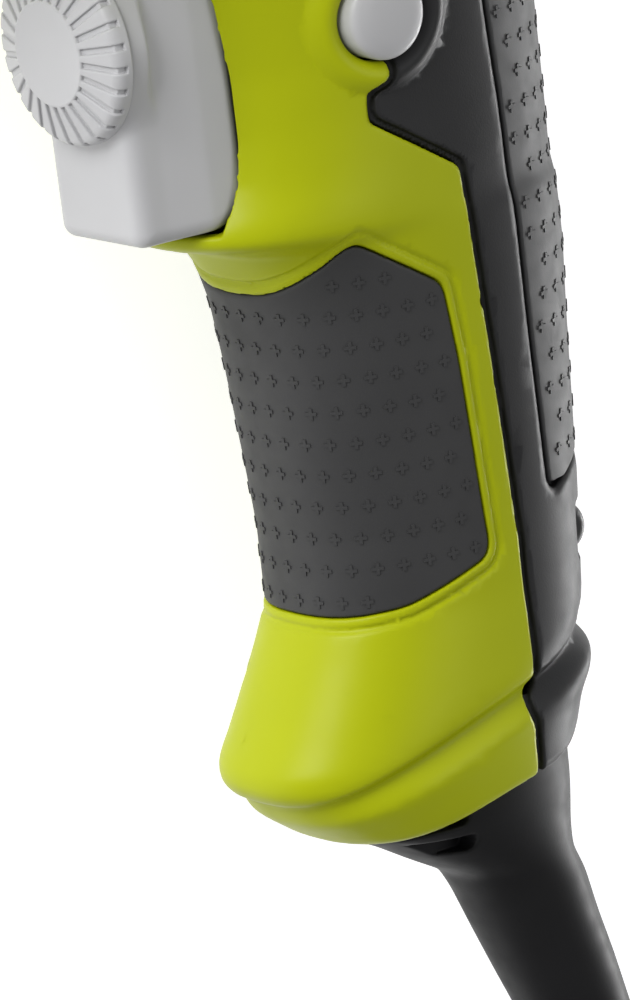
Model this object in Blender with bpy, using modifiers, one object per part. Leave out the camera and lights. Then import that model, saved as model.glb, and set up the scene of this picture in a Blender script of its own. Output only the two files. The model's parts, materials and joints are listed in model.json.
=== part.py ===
"""Corded pistol drill, as separate pieces, lying on its right side.

Every piece is modelled in the tool frame: x forward to the chuck, y to the user's left, z up, with the
origin in the middle of the grip. Two more frames hang from it. The grip frame leans forward by the grip's
rake, and the axis frames have their z along the motor, jackshaft and spindle. At the end the whole tool is
laid on its right side, with the middle of its box's bottom at the origin.
"""

import math

import bmesh
import bpy
from mathutils import Matrix, Vector

# --- general clearances and walls -----------------------------------------------------------------
GAP = 0.0003            # between pieces that touch
SEAM = 0.0005           # between neighbouring casing pieces
RUN = 0.0005            # between a moving piece and its opening
WALL = 0.0026           # casing wall
RING_SIDES = 24         # sides of turned pieces
SECTION_POINTS = 24     # points around a casing section

# --- grip, in the grip frame: (height along the grip, rear, front, half width) --------------------
RAKE = math.radians(9)
GRIP_SECTIONS = [
    (-0.066, -0.0160, 0.0120, 0.0150),
    (-0.058, -0.0180, 0.0190, 0.0170),
    (-0.054, -0.0195, 0.0255, 0.0180),
    (-0.051, -0.0208, 0.0290, 0.0186),
    (-0.0485, -0.0214, 0.0318, 0.0189),
    (-0.0465, -0.0217, 0.0337, 0.0190),
    (-0.0445, -0.0222, 0.0350, 0.0190),
    (-0.042, -0.0226, 0.0348, 0.0190),
    (-0.038, -0.0230, 0.0321, 0.0188),
    (-0.033, -0.0237, 0.0292, 0.0184),
    (-0.0273, -0.0243, 0.0260, 0.0180),
    (-0.0217, -0.0249, 0.0232, 0.0176),
    (-0.010, -0.0259, 0.0228, 0.0180),
    (0.000, -0.0264, 0.0234, 0.0186),
    (0.014, -0.0271, 0.0244, 0.0194),
    (0.024, -0.0277, 0.0254, 0.0202),
    (0.031, -0.0276, 0.0270, 0.0208),
    (0.0355, -0.0275, 0.0295, 0.0212),
    (0.0372, -0.0275, 0.0383, 0.0213),
    (0.039, -0.0275, 0.0392, 0.0213),
    (0.044, -0.0274, 0.0350, 0.0215),
    (0.060, -0.0273, 0.0340, 0.0222),
    (0.082, -0.0270, 0.0360, 0.0240),
    (0.094, -0.0270, 0.0420, 0.0255),
    (0.106, -0.0260, 0.0480, 0.0270),
]
GRIP_ROUNDNESS = 2.4
FOOT_PLANE_POINT = (0.0287, -0.0572)     # a point of the sole, in the grip frame
FOOT_PLANE_TILT = math.radians(13.5)      # the sole drops forward, against the grip frame

# --- barrel, in the tool frame: (forward, half width, half height) --------------------------------
BARREL_UP = 0.120
BARREL_REAR = -0.057
BARREL_FRONT = 0.076
BARREL_HALF_WIDTH = 0.0345
BARREL_HALF_HEIGHT = 0.0350
BARREL_ROUNDNESS = 2.5
BARREL_ENDS = [(0.000, 0.64), (0.002, 0.80), (0.007, 0.92), (0.017, 0.985), (0.030, 1.0)]
BARREL_FRONT_EASE = 0.98
PANEL_PROUD = 0.0015                     # flat side panels, one of which is what the drill lies on
PANEL_LENGTH = 0.074
PANEL_HEIGHT = 0.034
PANEL_FORWARD = 0.007
VENT_WIDE, VENT_TALL = 0.0020, 0.026
VENTS = [-0.0410, -0.0375, -0.0340, 0.0475, 0.0510, 0.0545, 0.0580]     # slots in both sides, forward places

# --- seams between casing pieces, in the grip frame: (forward, height) ----------------------------
REAR_SEAM = [
    (-0.0044, -0.080), (-0.0044, -0.0425), (-0.0054, -0.0325), (-0.0055, -0.0154), (-0.0043, -0.0001),
    (-0.0015, 0.0287), (-0.0003, 0.0414), (0.0142, 0.0510), (0.0141, 0.0554), (0.0110, 0.0566),
    (0.0112, 0.0790),
    (-0.0060, 0.0920), (-0.0160, 0.1650), (-0.0900, 0.1650), (-0.0900, -0.080),
]
FRONT_PAD_EDGE = [
    (0.0600, 0.0298), (0.0310, 0.0298), (0.0280, 0.0279), (0.0255, 0.0285), (0.0175, 0.0345),
    (0.0045, 0.0254),
    (0.0025, 0.0136), (0.0000, -0.0146), (0.0007, -0.0161), (0.0136, -0.0202), (0.0212, -0.0209),
    (0.0600, -0.0185),
]
REAR_PAD_EDGE = [
    (-0.0600, 0.0740), (-0.0073, 0.0740), (-0.0079, 0.0634), (-0.0093, 0.0500), (-0.0112, 0.0158),
    (-0.0126, -0.0086), (-0.0139, -0.0102), (-0.0220, -0.0072), (-0.0600, -0.0072),
]
PAD_THICK = 0.0018

# --- motor, all placed along the motor axis -------------------------------------------------------
STATOR_FROM, STATOR_TO = -0.004, 0.034
STATOR_OUTER, STATOR_SLOT, STATOR_BORE = 0.0285, 0.0245, 0.0176
POLE_HALF, COIL_SIDE, COIL_ENDS = 0.0125, 0.0115, 0.0045
ARMATURE_RADIUS = 0.0170
SHAFT_RADIUS = 0.0040
COMMUTATOR_FROM, COMMUTATOR_TO, COMMUTATOR_RADIUS = -0.036, -0.022, 0.0115
REAR_BEARING_AT, REAR_BEARING_WIDE = -0.0495, 0.007
FRONT_BEARING_AT = 0.0683
BEARING_OUTER = 0.0110
BAFFLE_AT, BAFFLE_THICK, BAFFLE_RADIUS = 0.040, 0.003, 0.0315
FAN_AT, FAN_LONG, FAN_RADIUS = 0.046, 0.010, 0.0265
FAN_BLADES = 9
BRUSH_SIDE = 0.0065
BRUSH_OUT = 0.0265

# --- gear train -----------------------------------------------------------------------------------
FIRST_MODULE, PINION_TEETH, WHEEL_TEETH = 0.0007, 9, 36
SECOND_MODULE, JACK_TEETH, OUTPUT_TEETH = 0.0009, 10, 32
PRESSURE_ANGLE = math.radians(25)
ADDENDUM, DEDENDUM = 0.8, 1.15
TOOTH_SHARE = 0.42                       # tooth thickness at the pitch circle, as a share of the pitch
PINION_FROM, WHEEL_FROM, WHEEL_THICK = 0.0772, 0.0780, 0.0080
OUTPUT_FROM, OUTPUT_THICK = 0.0890, 0.0100
JACK_RADIUS = 0.0025
JACK_UP = BARREL_UP - FIRST_MODULE * (PINION_TEETH + WHEEL_TEETH) / 2
SPINDLE_UP = JACK_UP + SECOND_MODULE * (JACK_TEETH + OUTPUT_TEETH) / 2
PLATE_FROM, PLATE_RADIUS = 0.0680, 0.0308
CASE_FROM, CASE_TO = BARREL_FRONT + SEAM, 0.1185
CASE_SECTIONS = [(0.0, 0.0326), (0.012, 0.0318), (0.023, 0.0280), (0.033, 0.0222), (0.038, 0.0200),
                 (0.042, 0.0190)]
CASE_SCREW_SIDE, CASE_SCREW_RISES, CASE_SCREW_FLOOR = 0.0215, (0.0165, -0.0195), 0.0810
SPINDLE_RADIUS = 0.0060
SPINDLE_BEARING_AT, SPINDLE_BEARING_WIDE, SPINDLE_BEARING_OUTER = 0.1043, 0.008, 0.0140
SPINDLE_WAY = 0.0070

# --- chuck ----------------------------------------------------------------------------------------
CHUCK_FROM, CHUCK_TO = 0.1210, 0.1720
CHUCK_BORE = 0.0052
CHUCK_REAR_RADIUS, CHUCK_NECK_RADIUS, CHUCK_NOSE_RADIUS = 0.0170, 0.0130, 0.0082
SLEEVE_FROM, SLEEVE_TO = 0.1378, 0.1595
SLEEVE_INNER, SLEEVE_OUTER = 0.0172, 0.0195
NUT_FROM, NUT_TO = 0.1515, 0.1580
JAW_TILT = math.radians(18)
JAW_RADIUS, JAW_LONG, JAW_TIP = 0.0029, 0.0240, 0.1745
JAW_OFFSET = 0.0021
THREAD_RADIUS = 0.00475

# --- trigger, switch and its controls, in the grip frame ------------------------------------------
TRIGGER_LOW, TRIGGER_HIGH = 0.0400, 0.0840
TRIGGER_FACE, TRIGGER_BACK, TRIGGER_HALF = 0.0475, 0.0260, 0.01135
TRIGGER_TRAVEL = 0.0070
DIAL_HEIGHT, DIAL_RADIUS, DIAL_THICK, DIAL_FACE_RADIUS, DIAL_SHOULDER = 0.0676, 0.0136, 0.0050, 0.0073, 0.0018
SWITCH_BACK, SWITCH_FACE, SWITCH_HALF = -0.0160, 0.0185, 0.0125
SWITCH_LOW, SWITCH_HIGH = 0.0440, 0.0850
PLUNGER_RADIUS, SPRING_RADIUS, SPRING_WIRE = 0.0028, 0.0046, 0.0005
BUTTON_AT = (0.0112, 0.0660)
BUTTON_RADIUS, BUTTON_TOP, BUTTON_UNDER, BUTTON_STEM = 0.00655, 0.0252, 0.0185, 0.0026
BUTTON_TRAVEL = 0.0030
LEVER_PIVOT = 0.0080
LEVER_LOW, LEVER_HIGH, LEVER_TIP = 0.0869, 0.0903, 0.0470
LEVER_SWING = math.radians(11)

# --- chuck key, held across the back of the grip --------------------------------------------------
KEY_HEIGHT, KEY_BAR_BACK, KEY_BAR_RADIUS, KEY_BAR_HALF = -0.0188, -0.0236, 0.0032, 0.0106
KEY_SHANK_RADIUS, KEY_GEAR_RADIUS = 0.0040, 0.0055
KEY_POCKET_WALL = 0.0024

# --- fasteners ------------------------------------------------------------------------------------
SCREW_SHANK, SCREW_HEAD, SCREW_HEAD_THICK = 0.0016, 0.0034, 0.0022
BOSS_RADIUS = 0.0042
HOUSING_SCREWS = [(0.012, -0.040), (0.012, 0.036), (0.062, 0.092), (0.062, 0.148), (-0.016, 0.148)]
SCREW_LONG = 0.024

# --- cord guard, in the tool frame: (forward, up, drop direction's lean, half length, half width) -
GUARD_SECTIONS = [
    (-0.0083, -0.0503, 22.5, 0.0185, 0.0120), (-0.0093, -0.0545, 22.5, 0.0183, 0.0120),
    (-0.0138, -0.0612, 24.5, 0.0138, 0.0106), (-0.0190, -0.0670, 27.3, 0.0105, 0.0097),
    (-0.0220, -0.0712, 27.3, 0.0090, 0.0090), (-0.0257, -0.0782, 27.3, 0.0085, 0.0085),
    (-0.0296, -0.0856, 27.3, 0.00795, 0.00795), (-0.0360, -0.0980, 27.3, 0.0068, 0.0068),
    (-0.0430, -0.1116, 27.3, 0.0055, 0.0055),
]
GUARD_NECK_RADIUS = 0.0082

# --- cord, coil and plug --------------------------------------------------------------------------
CORD_DIAMETER = 0.0070
FLOOR_LEFT = -(BARREL_HALF_WIDTH + PANEL_PROUD)          # the surface it lies on, in the tool frame
CORD_LIES = FLOOR_LEFT + CORD_DIAMETER / 2
COIL_CENTRE = (-0.0251, -0.2050)
COIL_MEAN = 0.0390
COIL_COLUMNS, COIL_LAYERS = 2, 4
COIL_LAYER_RISE = 0.00705
TAIL_LIES = CORD_LIES + (COIL_LAYERS - 1) * COIL_LAYER_RISE
LEAD_ROUTE = [
    (-0.04334, -0.11196, 0.0), (-0.0479, -0.1208, -0.0006), (-0.0530, -0.1310, -0.0040),
    (-0.0583, -0.1428, -0.0110), (-0.0628, -0.1545, -0.0200), (-0.0659, -0.1650, -0.0275),
    (-0.0674, -0.1730, -0.0316), (-0.0676, -0.1790, CORD_LIES),
]
TAIL_ROUTE = [
    (0.0174, -0.1796, TAIL_LIES), (0.0180, -0.1695, TAIL_LIES - 0.0012), (0.0222, -0.1590, -0.0165),
    (0.0315, -0.1510, -0.0218), (0.0430, -0.1474, -0.0274), (0.0535, -0.1470, -0.0280),
]
PLUG_AT = (0.0543, -0.1470)
PLUG_RELIEF, PLUG_LONG, PLUG_HALF_WIDTH, PLUG_THICK = 0.020, 0.030, 0.0120, 0.0160
BLADE_LONG, BLADE_WIDE, BLADE_THICK, BLADE_SPACING = 0.0175, 0.0064, 0.0015, 0.0127

FINISHES = {
    "lime_plastic": ((0.33, 0.38, 0.002), 0.42, 0.0),
    "dark_plastic": ((0.055, 0.055, 0.055), 0.55, 0.0),
    "grip_rubber": ((0.050, 0.050, 0.050), 0.65, 0.0),
    "pale_plastic": ((0.50, 0.50, 0.51), 0.40, 0.0),
    "black_rubber": ((0.018, 0.018, 0.018), 0.60, 0.0),
    "black_plastic": ((0.02, 0.02, 0.02), 0.45, 0.0),
    "cast_alloy": ((0.35, 0.35, 0.36), 0.45, 0.9),
    "steel": ((0.45, 0.45, 0.46), 0.30, 1.0),
    "lamination": ((0.22, 0.22, 0.23), 0.50, 0.9),
    "copper": ((0.72, 0.30, 0.13), 0.35, 1.0),
    "brass": ((0.70, 0.50, 0.20), 0.30, 1.0),
    "carbon": ((0.03, 0.03, 0.03), 0.80, 0.0),
}


# --- scene, frames and small tools ----------------------------------------------------------------
def clear_scene():
    for old in list(bpy.data.objects):
        bpy.data.objects.remove(old, do_unlink=True)


def new_collection(name):
    group = bpy.data.collections.new(name)
    bpy.context.scene.collection.children.link(group)
    return group


clear_scene()
PARTS = new_collection("corded_drill")
CUTTERS = new_collection("cutters")


def new_frame(name, location=(0, 0, 0), rotation=(0, 0, 0), parent=None):
    """An empty that pieces are placed in."""
    frame = bpy.data.objects.new(name, None)
    frame.location = location
    frame.rotation_euler = rotation
    frame.parent = parent
    PARTS.objects.link(frame)
    return frame


TOOL = new_frame("tool_frame")
GRIP = new_frame("grip_frame", rotation=(0, RAKE, 0), parent=TOOL)
ALONG = (0, math.pi / 2, 0)              # turns a frame's z to the tool's forward
MOTOR = new_frame("motor_axis", (0, 0, BARREL_UP), ALONG, TOOL)
JACK = new_frame("jack_axis", (0, 0, JACK_UP), ALONG, TOOL)
SPINDLE = new_frame("spindle_axis", (0, 0, SPINDLE_UP), ALONG, TOOL)


def finish(name):
    if name in bpy.data.materials:
        return bpy.data.materials[name]
    colour, roughness, metallic = FINISHES[name]
    made = bpy.data.materials.new(name)
    made.use_nodes = True
    shader = made.node_tree.nodes["Principled BSDF"]
    shader.inputs["Base Color"].default_value = (*colour, 1)
    shader.inputs["Roughness"].default_value = roughness
    shader.inputs["Metallic"].default_value = metallic
    return made


def place(name, mesh, frame, look=None, location=(0, 0, 0), rotation=(0, 0, 0)):
    """A piece if it has a finish, and a cutter if it has none."""
    piece = bpy.data.objects.new(name, mesh)
    piece.parent = frame
    piece.location = location
    piece.rotation_euler = rotation
    if look:
        PARTS.objects.link(piece)
        mesh.materials.append(finish(look))
    else:
        CUTTERS.objects.link(piece)
        piece.hide_render = True
        piece.display_type = "WIRE"
    return piece


def turned(name, profile, frame, look=None, location=(0, 0, 0), rotation=(0, 0, 0), sides=RING_SIDES):
    """A profile of (radius, height), top to bottom on its outer side, turned about z."""
    mesh = bpy.data.meshes.new(name)
    points = [(radius, 0, height) for radius, height in profile]
    count = len(points)
    closed = all(radius > 0 for radius, _ in profile)
    edges = [(k, (k + 1) % count) for k in range(count if closed else count - 1)]
    mesh.from_pydata(points, edges, [])
    piece = place(name, mesh, frame, look, location, rotation)
    screw = piece.modifiers.new("turn", "SCREW")
    screw.steps = screw.render_steps = sides
    screw.use_merge_vertices = True
    screw.merge_threshold = 0.00001
    return piece


def rod(name, radius, low, high, frame, look=None, location=(0, 0, 0), rotation=(0, 0, 0), sides=RING_SIDES):
    return turned(name, [(0, high), (radius, high), (radius, low), (0, low)], frame, look, location,
                  rotation, sides)


def ring(name, inner, outer, low, high, frame, look=None, location=(0, 0, 0), sides=RING_SIDES):
    profile = [(outer, high), (outer, low), (inner, low), (inner, high)]
    return turned(name, profile, frame, look, location, sides=sides)


def block(name, low, high, frame, look=None, bevel=0.0):
    """A box between two corners of a frame."""
    shape = bmesh.new()
    bmesh.ops.create_cube(shape, size=1)
    size = [b - a for a, b in zip(low, high)]
    middle = [(a + b) / 2 for a, b in zip(low, high)]
    bmesh.ops.transform(shape, matrix=Matrix.Translation(middle) @ Matrix.Diagonal((*size, 1)),
                        verts=shape.verts)
    mesh = bpy.data.meshes.new(name)
    shape.to_mesh(mesh)
    shape.free()
    piece = place(name, mesh, frame, look)
    if bevel:
        rounding = piece.modifiers.new("round", "BEVEL")
        rounding.width = bevel
        rounding.segments = 2
    return piece


def meshed(curve_object):
    """The evaluated mesh of a curve, with its caps welded, in place of the curve."""
    bpy.context.view_layer.update()
    graph = bpy.context.evaluated_depsgraph_get()
    mesh = bpy.data.meshes.new_from_object(curve_object.evaluated_get(graph))
    shape = bmesh.new()
    shape.from_mesh(mesh)
    bmesh.ops.remove_doubles(shape, verts=shape.verts, dist=0.000001)
    bmesh.ops.recalc_face_normals(shape, faces=shape.faces)
    shape.to_mesh(mesh)
    shape.free()
    bpy.data.objects.remove(curve_object, do_unlink=True)
    return mesh


def cut_outline(name, outline, thick, frame, look=None, location=(0, 0, 0), rotation=(0, 0, 0)):
    """A flat outline in x and y, made thick along z, half to each side."""
    curve = bpy.data.curves.new(name, "CURVE")
    curve.dimensions = "2D"
    curve.fill_mode = "BOTH"
    curve.extrude = thick / 2
    spline = curve.splines.new("POLY")
    spline.points.add(len(outline) - 1)
    for point, (x, y) in zip(spline.points, outline):
        point.co = (x, y, 0, 1)
    spline.use_cyclic_u = True
    flat = bpy.data.objects.new(name + "_outline", curve)
    PARTS.objects.link(flat)
    return place(name, meshed(flat), frame, look, location, rotation)


SIDE_ON = (math.pi / 2, 0, 0)            # an outline's x and y become a frame's x and z


def grown(outline, amount):
    """An outline moved out by an amount, along its corners' bisectors. It runs anticlockwise or clockwise."""
    count = len(outline)
    area = sum(a[0] * b[1] - b[0] * a[1] for a, b in zip(outline, outline[1:] + outline[:1]))
    side = 1 if area > 0 else -1
    out = []
    for k, point in enumerate(outline):
        before = Vector(point) - Vector(outline[k - 1])
        after = Vector(outline[(k + 1) % count]) - Vector(point)
        n1 = Vector((before.y, -before.x)).normalized() * side
        n2 = Vector((after.y, -after.x)).normalized() * side
        bisector = (n1 + n2).normalized()
        out.append(tuple(Vector(point) + bisector * amount / max(0.4, bisector.dot(n1))))
    return out


def loft(name, rings, frame, look=None):
    """A closed skin over rings with the same number of points."""
    shape = bmesh.new()
    rows = [[shape.verts.new(point) for point in points] for points in rings]
    for low, high in zip(rows, rows[1:]):
        for k in range(len(low)):
            j = (k + 1) % len(low)
            shape.faces.new((low[k], low[j], high[j], high[k]))
    shape.faces.new(rows[0])
    shape.faces.new(rows[-1])
    bmesh.ops.recalc_face_normals(shape, faces=shape.faces)
    bmesh.ops.triangulate(shape, faces=shape.faces)
    mesh = bpy.data.meshes.new(name)
    shape.to_mesh(mesh)
    shape.free()
    return place(name, mesh, frame, look)


def rounded(half_a, half_b, roundness, count=SECTION_POINTS):
    """Points of a superellipse."""
    points = []
    for k in range(count):
        turn = 2 * math.pi * k / count
        c, s = math.cos(turn), math.sin(turn)
        points.append((half_a * math.copysign(abs(c) ** (2 / roundness), c),
                       half_b * math.copysign(abs(s) ** (2 / roundness), s)))
    return points


def boolean(piece, operation, *others):
    for other in others:
        step = piece.modifiers.new(operation.lower(), "BOOLEAN")
        step.operation = operation
        step.object = other
        step.solver = "EXACT"
    return piece


def cut(piece, *cutters):
    return boolean(piece, "DIFFERENCE", *cutters)


def join(piece, *shapes):
    return boolean(piece, "UNION", *shapes)


def keep(piece, shape):
    return boolean(piece, "INTERSECT", shape)


def settled(piece):
    """Its modifiers made real, so that copies and later cuts start from the plain mesh."""
    bpy.context.view_layer.update()
    graph = bpy.context.evaluated_depsgraph_get()
    mesh = bpy.data.meshes.new_from_object(piece.evaluated_get(graph))
    piece.modifiers.clear()
    piece.data = mesh
    return piece


def copied(piece, name, look=None):
    mesh = piece.data.copy()
    mesh.materials.clear()
    return place(name, mesh, piece.parent, look, piece.location, piece.rotation_euler)


# --- casing ---------------------------------------------------------------------------------------
def grip_form(name, inset):
    """The grip's outer form, moved in by an inset."""
    rings = []
    for height, rear, front, half in GRIP_SECTIONS:
        middle, reach = (rear + front) / 2, (front - rear) / 2
        section = rounded(reach - inset, half - inset, GRIP_ROUNDNESS)
        rings.append([(middle + x, y, height) for x, y in section])
    return loft(name, rings, GRIP)


def barrel_form(name, inset, front_extra=0.0):
    """The motor housing's outer form, moved in by an inset."""
    stations = [(BARREL_REAR + step + inset * (k == 0), share) for k,
                (step, share) in enumerate(BARREL_ENDS)]
    stations += [(BARREL_FRONT - 0.014, 1.0), (BARREL_FRONT + front_extra, BARREL_FRONT_EASE)]
    rings = []
    for forward, share in stations:
        section = rounded(BARREL_HALF_WIDTH * share - inset, BARREL_HALF_HEIGHT * share - inset,
                          BARREL_ROUNDNESS)
        rings.append([(forward, y, BARREL_UP + z) for y, z in section])
    return loft(name, rings, TOOL)


def sole_cutter(name, offset):
    """Everything below the foot's sole, moved down by an offset."""
    forward, height = FOOT_PLANE_POINT
    piece = block(name, (-0.1, -0.06, -0.08), (0.1, 0.06, -offset), GRIP)
    piece.location = (forward, 0, height)
    piece.rotation_euler = (0, FOOT_PLANE_TILT, 0)
    return piece


def casing_form(name, inset, sole_offset, front_extra=0.0):
    form = grip_form(name, inset)
    join(form, barrel_form(name + "_barrel", inset, front_extra))
    cut(form, sole_cutter(name + "_sole", sole_offset))
    return settled(form)


def screw_line(name, radius, low, high, forward, up):
    """A rod across the tool, between two places to the left."""
    return rod(name, radius, low, high, TOOL, location=(forward, 0, up), rotation=(-math.pi / 2, 0, 0),
               sides=16)


def cavity():
    """The hollow of the casing, with the ribs, bosses and pockets that stay solid left out of it."""
    hollow = casing_form("hollow", WALL, -WALL, front_extra=0.02)
    solid = []
    for name, low, high, hole in (
        ("rear_rib", REAR_BEARING_AT - 0.0015, REAR_BEARING_AT + REAR_BEARING_WIDE - 0.001,
         BEARING_OUTER - 0.0015 + GAP),
        ("stator_rib_rear", STATOR_FROM + 0.004, STATOR_FROM + 0.007, STATOR_OUTER + GAP),
        ("stator_rib_front", STATOR_TO - 0.007, STATOR_TO - 0.004, STATOR_OUTER + GAP),
    ):
        reach = BARREL_HALF_HEIGHT + 0.01
        rib = block(name, (low, -reach, BARREL_UP - 0.0325), (high, reach, BARREL_UP + reach), TOOL)
        solid.append(cut(rib, rod(name + "_hole", hole, low - 0.01, high + 0.01, MOTOR)))
    low_shelf = block("switch_shelf_low", (-0.05, -0.05, SWITCH_LOW - GAP - 0.002),
                      (0.05, 0.05, SWITCH_LOW - GAP), GRIP)
    solid.append(low_shelf)
    reach = KEY_BAR_RADIUS + RUN + KEY_POCKET_WALL
    solid.append(block("key_seat", (-0.05, -0.05, KEY_HEIGHT - reach), (-0.0165, 0.05, KEY_HEIGHT + reach),
                       GRIP))
    solid.append(rod("key_tube", KEY_GEAR_RADIUS + RUN + KEY_POCKET_WALL, -0.0170, -0.0071, GRIP,
                     location=(0, 0, KEY_HEIGHT), rotation=ALONG))
    for k, (forward, up) in enumerate(HOUSING_SCREWS):
        solid.append(screw_line(f"boss_{k}", BOSS_RADIUS, -0.05, 0.05, forward, up))
    cut(hollow, *solid)
    return settled(hollow)


def casing_shell(name, hollow, look, side=0):
    """The casing's wall with its openings: all of it, or only what lies to one side of the middle."""
    shell = casing_form(name + "_form", 0.0, 0.0)
    flat = BARREL_HALF_WIDTH + PANEL_PROUD
    panel = block("side_panels", (PANEL_FORWARD - PANEL_LENGTH / 2, -flat, BARREL_UP - PANEL_HEIGHT / 2),
                  (PANEL_FORWARD + PANEL_LENGTH / 2, flat, BARREL_UP + PANEL_HEIGHT / 2), TOOL)
    join(shell, panel)
    if side:
        low, high = sorted((side * SEAM / 2, -side * 0.08))
        cut(shell, block(name + "_other_side", (-0.12, low, -0.12), (0.15, high, 0.22), TOOL))
    settled(shell)
    cut(shell, hollow)
    for k, forward in enumerate(VENTS):
        cut(shell, block(f"vent_{k}", (forward - VENT_WIDE / 2, -0.05, BARREL_UP - VENT_TALL / 2),
                         (forward + VENT_WIDE / 2, 0.05, BARREL_UP + VENT_TALL / 2), TOOL))
    cut(shell, block("trigger_way", (0.0150, -TRIGGER_HALF - RUN, TRIGGER_LOW - RUN),
                     (0.0800, TRIGGER_HALF + RUN, TRIGGER_HIGH + RUN), GRIP))
    reach = math.sin(LEVER_SWING) * (LEVER_TIP - LEVER_PIVOT) + 0.0035
    cut(shell, block("lever_way", (0.0150, -reach, LEVER_LOW - RUN), (0.0800, reach, LEVER_HIGH + RUN),
                     GRIP))
    forward, height = BUTTON_AT
    cut(shell, rod("button_way", BUTTON_RADIUS + RUN, 0, 0.05, GRIP, location=(forward, 0, height),
                   rotation=(-math.pi / 2, 0, 0)))
    reach = KEY_BAR_RADIUS + RUN
    cut(shell, block("key_bar_way", (-0.06, -0.05, KEY_HEIGHT - reach),
                     (KEY_BAR_BACK + reach, 0.05, KEY_HEIGHT + reach), GRIP))
    cut(shell, rod("key_way", KEY_GEAR_RADIUS + RUN, -0.05, 0.0136, GRIP, location=(0, 0, KEY_HEIGHT),
                   rotation=ALONG,
                   sides=19))
    cut(shell, guard_neck("guard_way", GUARD_NECK_RADIUS + GAP, 0.012))
    for k, (forward, up) in enumerate(HOUSING_SCREWS):
        seat, wide, narrow = -head_seat(forward, up), SCREW_HEAD + GAP, SCREW_SHANK + GAP / 2
        end = seat - SCREW_LONG - 0.001
        cut(shell, turned(f"screw_way_{k}",
                          [(0, 0.05), (wide, 0.05), (wide, seat), (narrow, seat), (narrow, end), (0, end)],
                          TOOL, location=(forward, 0, up), rotation=(math.pi / 2, 0, 0), sides=12))
    for pad, edge in (("front", FRONT_PAD_EDGE), ("rear", REAR_PAD_EDGE)):
        pocket = cut_outline(f"{pad}_pad_pocket", grown(edge, GAP), 0.12, GRIP, rotation=SIDE_ON)
        cut(shell, cut(pocket, grip_form("pad_floor", PAD_THICK + GAP)))
    return copied(settled(shell), name, look)


def head_seat(forward, up):
    """How far left the underside of a housing screw's head sits."""
    if up > 0.07:
        return -0.0215
    return -0.0140 if up < 0 else -0.0165


def build_casing():
    hollow = cavity()
    for name, side in (("housing_left", 1), ("housing_right", -1)):
        half = casing_shell(name, hollow, "lime_plastic", side)
        cut(half, cut_outline(name + "_cover_way", grown(REAR_SEAM, SEAM / 2), 0.12, GRIP, rotation=SIDE_ON))
        settled(half)
    cover = casing_shell("rear_cover", hollow, "dark_plastic")
    keep(cover, cut_outline("cover_keep", grown(REAR_SEAM, -SEAM / 2), 0.12, GRIP, rotation=SIDE_ON))
    settled(cover)

    pad_back = grip_form("pad_back", PAD_THICK)
    for name, edge in (("front_grip_pad", FRONT_PAD_EDGE), ("rear_grip_pad", REAR_PAD_EDGE)):
        skin = copied(grip_form(name + "_skin", 0), name, "grip_rubber")
        cut(skin, pad_back)
        keep(skin, cut_outline(name + "_keep", edge, 0.12, GRIP, rotation=SIDE_ON))
        settled(skin)


# --- motor ----------------------------------------------------------------------------------------
def bearing(name, inner, outer, low, wide, frame):
    return ring(name, inner, outer, low, low + wide, frame, "steel", sides=20)


def build_motor():
    core = ring("stator_core", STATOR_SLOT, STATOR_OUTER, STATOR_FROM, STATOR_TO, MOTOR, "lamination")
    root = (STATOR_SLOT + math.sqrt(STATOR_OUTER ** 2 - POLE_HALF ** 2)) / 2
    poles = block("poles", (-POLE_HALF, -root, STATOR_FROM + GAP), (POLE_HALF, root, STATOR_TO - GAP), MOTOR)
    cut(poles, rod("stator_bore", STATOR_BORE, STATOR_FROM - 0.01, STATOR_TO + 0.01, MOTOR))
    join(core, poles)
    settled(core)
    for name, side in (("field_coil_left", 1), ("field_coil_right", -1)):
        coil = ring(name, STATOR_BORE + RUN, STATOR_SLOT - GAP, STATOR_FROM - COIL_ENDS,
                    STATOR_TO + COIL_ENDS, MOTOR,
                    "copper")
        inner, outer = sorted((side * COIL_SIDE, side * 0.05))
        keep(coil, block(name + "_half", (-0.05, inner, -0.1), (0.05, outer, 0.1), MOTOR))
        reach = POLE_HALF + RUN
        cut(coil, block(name + "_pole", (-reach, -0.05, STATOR_FROM - RUN), (reach, 0.05, STATOR_TO + RUN),
                        MOTOR))
        settled(coil)
    for name, low in (("rear_bearing", REAR_BEARING_AT), ("front_bearing", FRONT_BEARING_AT)):
        outer = BEARING_OUTER - (0.0015 if name == "rear_bearing" else 0)
        bearing(name, SHAFT_RADIUS + GAP, outer, low, REAR_BEARING_WIDE, MOTOR)

    baffle = ring("fan_baffle", 0.0185, BAFFLE_RADIUS, BAFFLE_AT, BAFFLE_AT + BAFFLE_THICK, MOTOR,
                  "black_plastic")
    settled(baffle)
    for name, side in (("left", 1), ("right", -1)):
        reach = COMMUTATOR_RADIUS + GAP
        half, box = BRUSH_SIDE / 2, BRUSH_SIDE / 2 + 0.0018
        at = (COMMUTATOR_FROM + COMMUTATOR_TO) / 2
        low, high = sorted((side * reach, side * BRUSH_OUT))
        block(f"carbon_brush_{name}", (-half, low, at - half), (half, high, at + half), MOTOR, "carbon")
        low, high = sorted((side * (reach + 0.0022), side * 0.0312))
        holder = block(f"brush_holder_{name}", (-box, low, at - box), (box, high, at + box), MOTOR, "brass")
        gap = half + GAP
        low, high = sorted((0, side * (BRUSH_OUT + 0.0018)))
        cut(holder, block(f"brush_way_{name}", (-gap, low, at - gap), (gap, high, at + gap), MOTOR))


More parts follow.
